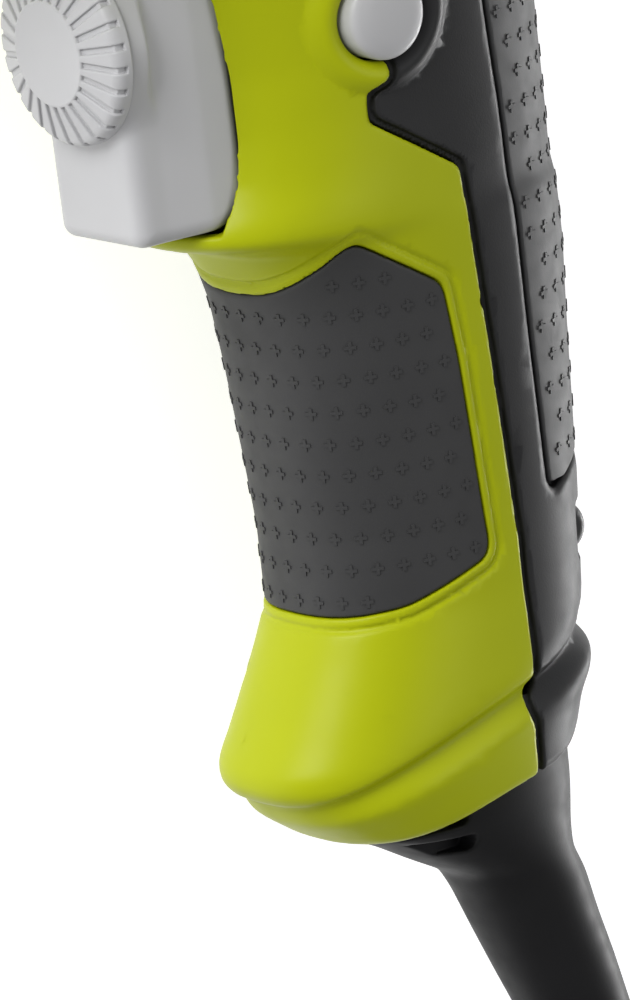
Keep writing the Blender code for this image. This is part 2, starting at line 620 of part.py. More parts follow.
def build_armature():
    shaft = rod("armature_shaft", SHAFT_RADIUS, REAR_BEARING_AT - 0.0005, PINION_FROM - 0.0004, MOTOR,
                "steel")
    join(shaft, gear("motor_pinion", FIRST_MODULE, PINION_TEETH, PINION_FROM - 0.001,
                     WHEEL_FROM + WHEEL_THICK, MOTOR,
                     turn=0.0))
    settled(shaft)
    hole = SHAFT_RADIUS + GAP
    ring("armature_core", hole, ARMATURE_RADIUS, STATOR_FROM - 0.001, STATOR_TO + 0.001, MOTOR, "lamination")
    ring("commutator", hole, COMMUTATOR_RADIUS, COMMUTATOR_FROM, COMMUTATOR_TO, MOTOR, "copper")
    fan = turned("fan", [(FAN_RADIUS, FAN_AT + 0.0020), (FAN_RADIUS, FAN_AT), (hole, FAN_AT),
                         (hole, FAN_AT + FAN_LONG),
                         (0.0080, FAN_AT + FAN_LONG), (0.0080, FAN_AT + 0.0020)], MOTOR, "black_plastic")
    for k in range(FAN_BLADES):
        blade = block(f"fan_blade_{k}", (0.0070, -0.0008, FAN_AT + 0.001),
                      (FAN_RADIUS, 0.0008, FAN_AT + FAN_LONG - 0.001),
                      MOTOR)
        blade.rotation_euler = (0, 0, 2 * math.pi * k / FAN_BLADES)
        join(fan, blade)
    settled(fan)


# --- gears ----------------------------------------------------------------------------------------
def tooth_half_angle(teeth, base, radius):
    """Half the angle that a tooth fills at a radius, on its involute and straight below its base circle."""
    def involute(r):
        slope = math.sqrt(max(0.0, (r / base) ** 2 - 1))
        return slope - math.atan(slope)

    pitch = base / math.cos(PRESSURE_ANGLE)
    return math.pi * TOOTH_SHARE / teeth + involute(pitch) - involute(max(radius, base))


def gear(name, module, teeth, low, high, frame, look=None, turn=0.0):
    """A spur gear between two heights of a frame, with a tooth's middle at the given turn."""
    pitch = module * teeth / 2
    base = pitch * math.cos(PRESSURE_ANGLE)
    root, tip = pitch - DEDENDUM * module, pitch + ADDENDUM * module
    flank = [root + (tip - root) * share for share in (0.0, 0.55, 1.0)]
    outline = []
    for k in range(teeth):
        middle = turn + 2 * math.pi * k / teeth
        for side, radii in ((-1, flank), (1, flank[::-1])):
            for radius in radii:
                angle = middle + side * tooth_half_angle(teeth, base, radius)
                outline.append((radius * math.cos(angle), radius * math.sin(angle)))
    return cut_outline(name, outline, high - low, frame, look, location=(0, 0, (low + high) / 2))


def build_gears():
    plate_to = BARREL_FRONT
    plate = rod("bearing_plate", PLATE_RADIUS, PLATE_FROM, plate_to, MOTOR, "cast_alloy")
    cut(plate, rod("front_bearing_seat", BEARING_OUTER + GAP, 0.05,
                   FRONT_BEARING_AT + REAR_BEARING_WIDE + GAP, MOTOR))
    cut(plate, rod("shaft_way", SHAFT_RADIUS + 2 * RUN, 0.05, 0.1, MOTOR))
    cut(plate, rod("jack_bush_seat", 0.0040 + GAP, 0.0704, 0.1, JACK))
    ring("jackshaft_bush", JACK_RADIUS + GAP, 0.0040, 0.0707, 0.0757, JACK, "brass", sides=16)
    for k, (side, rise) in enumerate(case_screw_places()):
        cut(plate, rod(f"plate_hole_{k}", SCREW_SHANK + GAP / 2, 0.0694, 0.1, TOOL,
                       location=(0, side, BARREL_UP + rise),
                       rotation=ALONG, sides=12))
    settled(plate)

    wheel = gear("intermediate_gear", FIRST_MODULE, WHEEL_TEETH, WHEEL_FROM, WHEEL_FROM + WHEEL_THICK, JACK,
                 "steel",
                 turn=math.pi + math.pi / WHEEL_TEETH)
    cut(wheel, rod("wheel_hole", JACK_RADIUS + GAP, 0, 0.2, JACK))
    settled(wheel)
    jack = rod("jackshaft", JACK_RADIUS, 0.0710, 0.1078, JACK, "steel", sides=20)
    join(jack, gear("jack_pinion", SECOND_MODULE, JACK_TEETH, OUTPUT_FROM - 0.0006,
                    OUTPUT_FROM + OUTPUT_THICK + 0.0006,
                    JACK, turn=math.pi))
    settled(jack)
    output = gear("output_gear", SECOND_MODULE, OUTPUT_TEETH, OUTPUT_FROM, OUTPUT_FROM + OUTPUT_THICK,
                  SPINDLE, "steel",
                  turn=math.pi / OUTPUT_TEETH)
    cut(output, rod("output_hole", SPINDLE_RADIUS + GAP, 0, 0.2, SPINDLE))
    settled(output)


def case_screw_places():
    return [(side * CASE_SCREW_SIDE, rise) for rise in CASE_SCREW_RISES for side in (1, -1)]


def build_gear_case():
    rings = []
    for step, radius in CASE_SECTIONS:
        share = step / CASE_SECTIONS[-1][0]
        up = BARREL_UP + (SPINDLE_UP - BARREL_UP) * share
        rings.append([(CASE_FROM + step, y, up + z) for y,
                      z in rounded(radius, radius, 2.0 + 0.35 * (1 - share))])
    case = loft("gear_case", rings, TOOL, "cast_alloy")
    wheel_room = FIRST_MODULE * WHEEL_TEETH / 2 + 0.0016
    output_room = SECOND_MODULE * OUTPUT_TEETH / 2 + 0.0018
    wheel_floor, output_floor = WHEEL_FROM + WHEEL_THICK + 0.0010, OUTPUT_FROM + OUTPUT_THICK + 0.0014
    jack_floor, seat, rear = output_floor + 0.0006, JACK_RADIUS + GAP, CASE_FROM - 0.01
    cut(case, turned("jack_rooms", [(0, 0.1081), (seat, 0.1081), (seat, jack_floor), (0.0070, jack_floor),
                                    (0.0070, wheel_floor), (wheel_room, wheel_floor), (wheel_room, rear),
                                    (0, rear)], JACK))
    bearing_floor, bearing_room = SPINDLE_BEARING_AT + SPINDLE_BEARING_WIDE + GAP, SPINDLE_BEARING_OUTER + GAP
    cut(case, turned("spindle_rooms",
                     [(0, CASE_TO + 0.01), (SPINDLE_WAY, CASE_TO + 0.01), (SPINDLE_WAY, bearing_floor),
                                       (bearing_room, bearing_floor), (bearing_room, output_floor),
                                       (output_room, output_floor), (output_room, rear - 0.001),
                                       (0, rear - 0.001)],
                     SPINDLE))
    for k, (side, rise) in enumerate(case_screw_places()):
        at = (0, side, BARREL_UP + rise)
        wide, narrow, floor = SCREW_HEAD + 0.0008, SCREW_SHANK + GAP / 2, CASE_SCREW_FLOOR
        cut(case, turned(f"case_screw_way_{k}",
                         [(0, 0.14), (wide, 0.14), (wide, floor), (narrow, floor), (narrow, 0.05),
                                                 (0, 0.05)], TOOL, location=at, rotation=ALONG, sides=13))
        screw(f"gear_case_screw_{k + 1}", 0.0100, TOOL, at, ALONG, CASE_SCREW_FLOOR)
    settled(case)
    bearing("spindle_bearing", SPINDLE_RADIUS + GAP, SPINDLE_BEARING_OUTER, SPINDLE_BEARING_AT,
            SPINDLE_BEARING_WIDE, SPINDLE)


def screw(name, long, frame, location, rotation, seat):
    """A pan-head screw whose head sits above a seat height, with its shank below."""
    head, shank = SCREW_HEAD, SCREW_SHANK
    top = seat + GAP / 2 + SCREW_HEAD_THICK
    profile = [(0, top), (head * 0.6, top), (head, top - SCREW_HEAD_THICK * 0.5), (head, seat + GAP / 2),
               (shank, seat + GAP / 2), (shank, seat - long), (0, seat - long)]
    return turned(name, profile, frame, "steel", location, rotation, sides=12)


def build_screws():
    for k, (forward, up) in enumerate(HOUSING_SCREWS):
        seat = -head_seat(forward, up)
        screw(f"housing_screw_{k + 1}", SCREW_LONG, TOOL, (forward, 0, up), (math.pi / 2, 0, 0), seat)


# --- spindle and chuck ----------------------------------------------------------------------------
def jaw_shape(name, radius, long, turn, look=None):
    """A rod on a jaw's slanted axis, with its front end at the chuck's mouth."""
    tip = Vector((JAW_OFFSET * math.cos(turn), JAW_OFFSET * math.sin(turn), JAW_TIP))
    axis_turn = Matrix.Rotation(turn, 4, "Z") @ Matrix.Rotation(-JAW_TILT, 4, "Y")
    return rod(name, radius, -long, 0, SPINDLE, look, location=tip, rotation=axis_turn.to_euler(), sides=12)


def build_spindle():
    r, thread = SPINDLE_RADIUS, THREAD_RADIUS
    front, rear, collar = 0.1460, WHEEL_FROM + WHEEL_THICK + 0.0023, OUTPUT_FROM + OUTPUT_THICK + GAP
    spindle = turned("spindle",
                     [(0, front), (thread, front), (thread, 0.1205), (r, 0.1195), (r, collar + 0.0040),
                                 (r + 0.0025, collar + 0.0035), (r + 0.0025, collar), (r, collar), (r, rear),
                                 (0, rear)],
                     SPINDLE, "steel")
    cut(spindle, rod("chuck_screw_way", 0.0027, 0.1290, 0.16, SPINDLE, sides=12))
    settled(spindle)
    turned("chuck_screw",
           [(0, 0.1495), (0.0038, 0.1495), (0.0042, 0.1485), (0.0042, front + GAP), (0.0024, front + GAP),
                           (0.0024, 0.1305), (0, 0.1305)], SPINDLE, "steel", sides=12)


def build_chuck():
    neck, rear, nose = CHUCK_NECK_RADIUS, CHUCK_REAR_RADIUS, CHUCK_NOSE_RADIUS
    body = turned("chuck_body",
                  [(0, CHUCK_TO), (nose, CHUCK_TO), (neck, SLEEVE_TO - 0.001), (neck, SLEEVE_FROM - GAP),
                                 (rear, SLEEVE_FROM - GAP), (rear, CHUCK_FROM + 0.0015),
                                 (rear - 0.0015, CHUCK_FROM),
                                 (0, CHUCK_FROM)], SPINDLE, "steel")
    cut(body, rod("bit_bore", CHUCK_BORE, 0.11, 0.20, SPINDLE))
    for k in range(3):
        turn = 2 * math.pi * k / 3
        way = jaw_shape(f"jaw_way_{k}", JAW_RADIUS + 0.0003, JAW_LONG + 0.0165, turn)
        cut(body, way)
        jaw = jaw_shape(f"chuck_jaw_{k + 1}", JAW_RADIUS, JAW_LONG, turn, "steel")
        flat = block(f"jaw_face_{k}", (-0.02, -0.02, 0.10), (0.00025, 0.02, 0.20), SPINDLE)
        flat.rotation_euler = (0, 0, turn)
        cut(jaw, flat)
        for side in (1, -1):
            meet = block(f"jaw_meet_{k}_{side > 0}", (-0.02, -0.02, 0.10), (0.0001, 0.02, 0.20), SPINDLE)
            meet.rotation_euler = (0, 0, turn + side * math.radians(30))
            cut(jaw, meet)
        cut(jaw, block(f"jaw_end_{k}", (-0.02, -0.02, JAW_TIP - 0.0003), (0.02, 0.02, 0.20), SPINDLE))
        settled(jaw)
    settled(body)
    turned("chuck_sleeve", [(SLEEVE_OUTER - 0.0022, SLEEVE_TO), (SLEEVE_OUTER, SLEEVE_TO - 0.0035),
                            (SLEEVE_OUTER, SLEEVE_FROM + 0.001), (SLEEVE_OUTER - 0.001, SLEEVE_FROM),
                            (SLEEVE_INNER, SLEEVE_FROM), (SLEEVE_INNER, NUT_TO + GAP),
                            (CHUCK_NECK_RADIUS + GAP, NUT_TO + GAP),
                            (CHUCK_NECK_RADIUS + GAP, SLEEVE_TO)], SPINDLE, "steel")
    ring("chuck_nut", CHUCK_NECK_RADIUS + GAP, SLEEVE_INNER - GAP, NUT_FROM, NUT_TO, SPINDLE, "steel")


# --- trigger, switch, button, lever, key ----------------------------------------------------------
def spring(name, radius, wire, turns, low, high, frame, location=(0, 0, 0), rotation=(0, 0, 0)):
    curve = bpy.data.curves.new(name, "CURVE")
    curve.dimensions = "3D"
    curve.bevel_depth = wire
    curve.bevel_resolution = 0
    curve.use_fill_caps = True
    spline = curve.splines.new("POLY")
    steps = int(turns * 9)
    spline.points.add(steps)
    for k, point in enumerate(spline.points):
        turn = 2 * math.pi * turns * k / steps
        height = low + wire + (high - low - 2 * wire) * k / steps
        point.co = (radius * math.cos(turn), radius * math.sin(turn), height, 1)
    coil = bpy.data.objects.new(name + "_wire", curve)
    PARTS.objects.link(coil)
    return place(name, meshed(coil), frame, "steel", location, rotation)


def build_controls():
    trigger = block("trigger", (TRIGGER_BACK, -TRIGGER_HALF, TRIGGER_LOW),
                    (TRIGGER_FACE, TRIGGER_HALF, TRIGGER_HIGH), GRIP,
                    "pale_plastic", bevel=0.0020)
    dial_at = (0, 0, DIAL_HEIGHT)
    cut(trigger, rod("dial_stem_way", 0.0025 + RUN, TRIGGER_FACE - 0.0100, 0.1, GRIP, location=dial_at,
                     rotation=ALONG, sides=12))
    settled(trigger)
    back = TRIGGER_FACE + GAP
    turned("speed_dial", [(0, back + DIAL_THICK), (DIAL_FACE_RADIUS, back + DIAL_THICK),
                          (DIAL_RADIUS, back + DIAL_THICK - DIAL_SHOULDER), (DIAL_RADIUS, back),
                          (0.0025, back),
                          (0.0025, TRIGGER_FACE - 0.0095), (0, TRIGGER_FACE - 0.0095)],
           GRIP, "pale_plastic", dial_at, ALONG)

    switch = block("switch_body", (SWITCH_BACK, -SWITCH_HALF, SWITCH_LOW),
                   (SWITCH_FACE, SWITCH_HALF, SWITCH_HIGH), GRIP,
                   "black_plastic")
    plunger_at = (0, 0, 0.0560)
    wide, narrow = SPRING_RADIUS + SPRING_WIRE + RUN, PLUNGER_RADIUS + RUN
    cut(switch, turned("plunger_way",
                       [(0, 0.1), (wide, 0.1), (wide, 0.0100), (narrow, 0.0100), (narrow, 0), (0, 0)],
                       GRIP, location=plunger_at, rotation=ALONG, sides=16))
    forward, height = BUTTON_AT
    across = (-math.pi / 2, 0, 0)
    button_at = (forward, 0, height)
    cut(switch, rod("button_stem_way", BUTTON_STEM + RUN, 0.0080, 0.05, GRIP, location=button_at,
                    rotation=across, sides=16))
    settled(switch)
    rod("switch_plunger", PLUNGER_RADIUS, 0.0075, TRIGGER_BACK - GAP, GRIP, "black_plastic", plunger_at,
        ALONG, sides=16)
    spring("trigger_spring", SPRING_RADIUS, SPRING_WIRE, 5, 0.0103, TRIGGER_BACK - GAP, GRIP, plunger_at,
           ALONG)
    turned("lock_on_button",
           [(0, BUTTON_TOP), (BUTTON_RADIUS - 0.0010, BUTTON_TOP), (BUTTON_RADIUS, BUTTON_TOP - 0.0010),
                              (BUTTON_RADIUS, BUTTON_UNDER), (BUTTON_STEM, BUTTON_UNDER),
                              (BUTTON_STEM, SWITCH_HALF - 0.001),
                              (0, SWITCH_HALF - 0.001)], GRIP, "pale_plastic", button_at, across)
    spring("lock_spring", BUTTON_STEM + 0.0012, 0.0003, 3, SWITCH_HALF + GAP, BUTTON_UNDER - GAP, GRIP,
           button_at, across)

    lever = rod("reversing_lever", 0.0050, LEVER_LOW, LEVER_HIGH, GRIP, "pale_plastic", (LEVER_PIVOT, 0, 0))
    arm = block("lever_arm", (LEVER_PIVOT, -0.0022, LEVER_LOW), (LEVER_TIP - 0.003, 0.0022, LEVER_HIGH),
                GRIP)
    paddle = rod("lever_paddle", 0.0032, LEVER_LOW, LEVER_HIGH, GRIP, location=(LEVER_TIP - 0.0032, 0, 0),
                 sides=16)
    pin = rod("lever_pin", 0.0030, SWITCH_HIGH + GAP, LEVER_LOW + 0.001, GRIP, location=(LEVER_PIVOT, 0, 0),
              sides=16)
    settled(join(lever, arm, paddle, pin))


def build_key():
    bar, shank, toothed = KEY_BAR_BACK, KEY_SHANK_RADIUS, KEY_GEAR_RADIUS
    key = turned("chuck_key",
                 [(0, 0.0130), (0.0026, 0.0130), (0.0026, 0.0080), (toothed * 0.72, 0.0076),
                  (toothed, 0.0030),
                               (toothed, 0.0000), (shank, -0.0010), (shank, bar - 0.0010),
                               (0, bar - 0.0010)],
                 GRIP, "steel", (0, 0, KEY_HEIGHT), ALONG, sides=16)
    join(key, rod("key_bar", KEY_BAR_RADIUS, -KEY_BAR_HALF, KEY_BAR_HALF, GRIP,
                  location=(bar, 0, KEY_HEIGHT),
                  rotation=(-math.pi / 2, 0, 0), sides=12))
    settled(key)


# --- cord -----------------------------------------------------------------------------------------
def guard_neck(name, radius, long):
    """The guard's round neck, square to the sole."""
    forward, up, lean, _, _ = GUARD_SECTIONS[0]
    return rod(name, radius, -0.002, long, TOOL, location=(forward, 0, up),
               rotation=(0, math.radians(lean), 0), sides=20)


def build_guard():
    rings = []
    for forward, up, lean, reach, half in GUARD_SECTIONS:
        turn = math.radians(lean)
        rings.append([(forward + x * math.cos(turn), y, up - x * math.sin(turn)) for x,
                      y in rounded(reach, half, 2.2, 28)])
    guard = loft("cord_guard", rings, TOOL, "black_rubber")
    join(guard, guard_neck("guard_neck", GUARD_NECK_RADIUS, 0.0065))
    settled(guard)
    block("cord_clamp", (0.0040, -0.0110, -0.0485), (0.0110, 0.0110, -0.0445), TOOL, "black_plastic")


def smooth_route(points, spacing):
    """Points at even steps along a Catmull-Rom curve through a route."""
    route = [Vector(p) for p in points]
    padded = [2 * route[0] - route[1]] + route + [2 * route[-1] - route[-2]]
    fine = []
    for a, b, c, d in zip(padded, padded[1:], padded[2:], padded[3:]):
        for k in range(20):
            t = k / 20
            fine.append(0.5 * (2 * b + (c - a) * t + (2 * a - 5 * b + 4 * c - d) * t * t
                               + (3 * b - a - 3 * c + d) * t ** 3))
    fine.append(route[-1])
    total = sum((b - a).length for a, b in zip(fine, fine[1:]))
    count = max(2, round(total / spacing))
    out, walked, k = [fine[0]], 0.0, 0
    for step in range(1, count):
        goal = total * step / count
        while walked + (fine[k + 1] - fine[k]).length < goal:
            walked += (fine[k + 1] - fine[k]).length
            k += 1
        out.append(fine[k].lerp(fine[k + 1], (goal - walked) / (fine[k + 1] - fine[k]).length))
    return out + [fine[-1]]


def cord(name, route):
    curve = bpy.data.curves.new(name, "CURVE")
    curve.dimensions = "3D"
    curve.bevel_depth = CORD_DIAMETER / 2
    curve.bevel_resolution = 3
    curve.use_fill_caps = True
    points = smooth_route([(x, left, up) for x, up, left in route], 2.2 * CORD_DIAMETER)
    spline = curve.splines.new("POLY")
    spline.points.add(len(points) - 1)
    for point, co in zip(spline.points, points):
        point.co = (*co, 1)
    tube = bpy.data.objects.new(name + "_curve", curve)
    PARTS.objects.link(tube)
    return place(name, meshed(tube), TOOL, "black_rubber")


def build_cord():
    cord("cord_lead", LEAD_ROUTE)
    cord("cord_tail", TAIL_ROUTE)
    inner = COIL_MEAN - CORD_DIAMETER * COIL_COLUMNS / 2 - 0.0003
    outer = COIL_MEAN + CORD_DIAMETER * COIL_COLUMNS / 2 + 0.0003
    high = CORD_DIAMETER + (COIL_LAYERS - 1) * COIL_LAYER_RISE
    ease = CORD_DIAMETER * 0.3
    forward, up = COIL_CENTRE
    turned("cord_coil",
           [(outer - ease, high), (outer, high - ease), (outer, ease), (outer - ease, 0), (inner + ease, 0),
                         (inner, ease), (inner, high - ease), (inner + ease, high)], TOOL, "black_rubber",
           (forward, FLOOR_LEFT, up), (-math.pi / 2, 0, 0))
    forward, up = PLUG_AT
    rings = []
    middle = FLOOR_LEFT + PLUG_THICK / 2
    for step, half, thick in ((0.0, 0.0050, 0.0050), (PLUG_RELIEF, 0.0064, 0.0060),
                              (PLUG_RELIEF + 0.004, PLUG_HALF_WIDTH * 0.9, PLUG_THICK / 2 - 0.0006),
                              (PLUG_RELIEF + 0.010, PLUG_HALF_WIDTH, PLUG_THICK / 2),
                              (PLUG_RELIEF + PLUG_LONG, PLUG_HALF_WIDTH, PLUG_THICK / 2)):
        rings.append([(forward + step, middle + y, up + x) for x, y in rounded(half, thick, 2.8, 28)])
    plug = loft("plug_body", rings, TOOL, "black_rubber")
    face = forward + PLUG_RELIEF + PLUG_LONG
    for k, side in enumerate((1, -1)):
        at = up + side * BLADE_SPACING / 2
        half, thick = BLADE_WIDE / 2, BLADE_THICK / 2
        cut(plug, block(f"blade_way_{k}", (face - 0.006 - GAP, middle - half - GAP, at - thick - GAP),
                        (face + 0.01, middle + half + GAP, at + thick + GAP), TOOL))
        block(f"plug_blade_{k + 1}", (face - 0.006, middle - half, at - thick),
              (face + BLADE_LONG, middle + half, at + thick),
              TOOL, "brass")
    settled(plug)


# --- laying the tool down -------------------------------------------------------------------------
CORD_PIECES = ("cord_guard", "cord_lead", "cord_coil", "cord_tail", "plug_body", "plug_blade_1",
               "plug_blade_2")


def lay_down():
    """Turns the tool onto its right side, with the middle of its own box's bottom at the origin."""
    TOOL.matrix_world = Matrix(((-1, 0, 0, 0), (0, 0, 1, 0), (0, 1, 0, 0), (0, 0, 0, 1)))
    bpy.context.view_layer.update()
    graph = bpy.context.evaluated_depsgraph_get()
    corners = []
    for piece in PARTS.objects:
        if piece.type == "MESH" and piece.name not in CORD_PIECES:
            mesh = piece.evaluated_get(graph).to_mesh()
            corners += [piece.matrix_world @ vertex.co for vertex in mesh.vertices]
    low = [min(corner[k] for corner in corners) for k in range(3)]
    high = [max(corner[k] for corner in corners) for k in range(3)]
    TOOL.location = (-(low[0] + high[0]) / 2, -(low[1] + high[1]) / 2, -low[2])
    bpy.context.view_layer.update()


build_casing()
build_motor()
build_armature()
build_gears()
build_gear_case()
build_screws()
build_spindle()
build_chuck()
build_controls()
build_key()
build_guard()
build_cord()
lay_down()
for piece in PARTS.objects:
    if piece.type == "MESH":
        piece.data.shade_smooth()
        piece.data.set_sharp_from_angle(angle=math.radians(35))
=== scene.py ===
"""A corded pistol drill lying on its right side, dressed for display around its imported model.

The moulded pieces are cast from smooth fields, in millimetres, in the grip's frame: e runs forward across the
grip, w runs up along it, and l runs to the user's left. The turned and pressed pieces are modelled by hand.
"""

import json
import logging
import math
from dataclasses import dataclass, field
from enum import Enum
from functools import partial
from typing import Callable, Sequence

import bmesh
import bpy
import numpy as np
import openvdb
from mathutils import Matrix, Vector


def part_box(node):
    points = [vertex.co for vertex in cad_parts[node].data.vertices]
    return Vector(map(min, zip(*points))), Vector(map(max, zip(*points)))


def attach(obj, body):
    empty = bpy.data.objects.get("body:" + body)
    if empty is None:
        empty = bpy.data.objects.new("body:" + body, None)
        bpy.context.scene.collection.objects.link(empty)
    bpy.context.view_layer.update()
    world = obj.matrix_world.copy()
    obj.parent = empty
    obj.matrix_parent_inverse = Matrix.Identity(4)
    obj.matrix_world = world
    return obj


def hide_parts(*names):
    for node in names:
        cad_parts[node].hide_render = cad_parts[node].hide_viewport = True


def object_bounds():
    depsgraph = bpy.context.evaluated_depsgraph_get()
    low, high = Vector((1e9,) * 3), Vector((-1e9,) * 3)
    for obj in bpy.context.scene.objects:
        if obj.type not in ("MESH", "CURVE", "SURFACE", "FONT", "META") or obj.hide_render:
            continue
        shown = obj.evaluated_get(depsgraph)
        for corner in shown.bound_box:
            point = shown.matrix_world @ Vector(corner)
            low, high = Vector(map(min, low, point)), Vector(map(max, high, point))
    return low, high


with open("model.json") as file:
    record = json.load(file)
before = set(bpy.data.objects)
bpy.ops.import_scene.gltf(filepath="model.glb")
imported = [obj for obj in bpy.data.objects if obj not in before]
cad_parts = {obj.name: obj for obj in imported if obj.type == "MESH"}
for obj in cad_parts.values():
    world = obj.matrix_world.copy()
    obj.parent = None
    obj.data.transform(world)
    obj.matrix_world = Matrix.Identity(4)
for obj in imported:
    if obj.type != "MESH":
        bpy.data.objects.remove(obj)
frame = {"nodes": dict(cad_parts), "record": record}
CAD_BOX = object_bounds()

logging.basicConfig(level=logging.INFO, format="%(message)s")
LOG = logging.getLogger("drill")

Array = np.ndarray
Field = Callable[[Array, Array, Array], Array]
Point = tuple[float, float, float]

# Lengths are millimetres in the tool's and the grip's frames, unless they are said to be metres.
MM = 0.001
RAKE = math.radians(9.0)
RAKE_COS, RAKE_SIN = math.cos(RAKE), math.sin(RAKE)
BARREL_UP = 120.0
SPINDLE_UP = 123.15
STATOR_MIDDLE_FORWARD = 15.0
BUTTON_AT, BUTTON_RADIUS = (11.2, 66.0), 6.4
KEY_HEIGHT = -18.8
STATOR_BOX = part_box("stator_core")
STATOR_MIDDLE = (STATOR_BOX[0] + STATOR_BOX[1]) / 2
ORIGIN = STATOR_MIDDLE + Vector((STATOR_MIDDLE_FORWARD, -BARREL_UP, 0.0)) * MM

# A casting's sampling pitch, how freely its flat stretches are simplified, and its field's half band in
# pitches.
FINE, COARSE = ((0.4, 0.5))
FLAT = 0.03
BAND = 3
# How near, in metres, two corners of one piece are welded.
WELD = 0.000002


# --- frames -----------------------------------------------------------------------------------------------
def tool_to_world(forward: float, up: float, left: float) -> Vector:
    """A place in the tool's frame, in millimetres, as a place in the row's frame, in metres."""
    return ORIGIN + Vector((-forward, up, left)) * MM


def grip_to_tool(e: Array, w: Array) -> tuple[Array, Array]:
    """Forward and up in the tool's frame of a place in the grip's frame."""
    return e * RAKE_COS + w * RAKE_SIN, w * RAKE_COS - e * RAKE_SIN


def grip_to_world(e: float, w: float, left: float) -> Vector:
    """A place in the grip's frame, in millimetres, as a place in the row's frame, in metres."""
    forward, up = grip_to_tool(e, w)
    return tool_to_world(forward, up, left)


def grip_points_to_world(points: Array) -> Array:
    """Rows of e, w and l, in millimetres, as rows of places in the row's frame, in metres."""
    forward, up = grip_to_tool(points[:, 0], points[:, 1])
    return np.stack([-forward, up, points[:, 2]], 1) * MM + np.array(ORIGIN)


def grip_vectors_to_world(vectors: Array) -> Array:
    """Directions in the grip's frame as directions in the row's frame."""
    forward, up = grip_to_tool(vectors[:, 0], vectors[:, 1])
    return np.stack([-forward, up, vectors[:, 2]], 1)


class Axis(Enum):
    """The directions that turned pieces stand along, in the row's frame."""

    FORWARD = (-1.0, 0.0, 0.0)
    LEFT = (0.0, 0.0, 1.0)
    RIGHT = (0.0, 0.0, -1.0)
    GRIP_FORWARD = (-RAKE_COS, -RAKE_SIN, 0.0)

    def standing(self, base: Vector) -> Matrix:
        """The matrix that stands a piece's z along this direction, at a base point.

        Args:
            base: the place of the piece's own origin.

        Returns:
            The matrix.
        """
        z = Vector(self.value)
        x = Vector((0, 0, 1)) if abs(z.z) < 0.5 else Vector((1, 0, 0))
        y = z.cross(x).normalized()
        x = y.cross(z)
        matrix = Matrix((x, y, z)).transposed().to_4x4()
        matrix.translation = base
        return matrix


# --- fields -----------------------------------------------------------------------------------------------
def merged(a: Array, b: Array, radius: float) -> Array:
    """Two solids joined, with a fillet of about a radius between them."""
    share = np.clip(0.5 + 0.5 * (b - a) / radius, 0, 1)
    return b + (a - b) * share - radius * share * (1 - share)


def trimmed(a: Array, b: Array, radius: float) -> Array:
    """What two solids share, with an edge rounded by about a radius."""
    return -merged(-a, -b, radius)


def bump(x: Array, middle: float, half: float) -> Array:
    """A smooth hump of height 1."""
    return np.exp(-(((x - middle) / half) ** 2))


def slab(x: Array, low: float, high: float) -> Array:
    """The distance to what lies between two places along one direction."""
    return np.maximum(low - x, x - high)


def brick(sizes: Sequence[tuple[Array, float, float]], radius: float) -> Array:
    """A rounded brick between pairs of places along its directions.

    Args:
        sizes: for each direction, the places and the brick's two ends.
        radius: the rounding of its edges.

    Returns:
        The distances there, negative inside.
    """
    total, inside = 0.0, None
    for x, low, high in sizes:
        d = slab(x, low + radius, high - radius)
        total = total + np.maximum(d, 0) ** 2
        inside = d if inside is None else np.maximum(inside, d)
    return np.sqrt(total) + np.minimum(inside, 0) - radius


def oval(x: Array, y: Array, reach: Array, half: Array, power: float) -> Array:
    """About the distance to an oval, squarer with a higher power.

    Args:
        x: places along the oval's first direction, from its middle.
        y: places along its second direction.
        reach: half its size along the first.
        half: half its size along the second.
        power: 2 for an ellipse.

    Returns:
        The distance, negative inside.
    """
    x, y = np.abs(x) / reach, np.abs(y) / half
    q = np.maximum(x ** power + y ** power, 1e-6) ** (1 / power)
    slope = np.sqrt((x / q) ** (2 * power - 2) / reach ** 2 + (y / q) ** (2 * power - 2) / half ** 2)
    return (q - 1) / slope


def smoothed(values: Array, step: float, width: float) -> Array:
    """Values along a line, averaged over a width.

    Args:
        values: the values, evenly spaced.
        step: the distance between them.
        width: the width they are averaged over.

    Returns:
        The smoothed values.
    """
    reach = int(3 * width / step) + 1
    kernel = np.exp(-0.5 * (np.arange(-reach, reach + 1) * step / width) ** 2)
    padded = np.pad(values, reach, mode="edge")
    return np.convolve(padded, kernel / kernel.sum(), mode="valid")


@dataclass
class Curve:
    """A smooth line through a table of places and values."""

    table: Sequence[tuple[float, float]]
    width: float = 1.0
    step: float = 0.1

    def __post_init__(self) -> None:
        """Samples the line once."""
        xs, ys = np.array(self.table, float).T
        self.at = np.arange(xs[0] - 4 * self.width, xs[-1] + 4 * self.width, self.step)
        self.values = smoothed(np.interp(self.at, xs, ys), self.step, self.width)

    def __call__(self, x: Array) -> Array:
        """The line's value at places along it."""
        return np.interp(x, self.at, self.values).astype(np.float32)


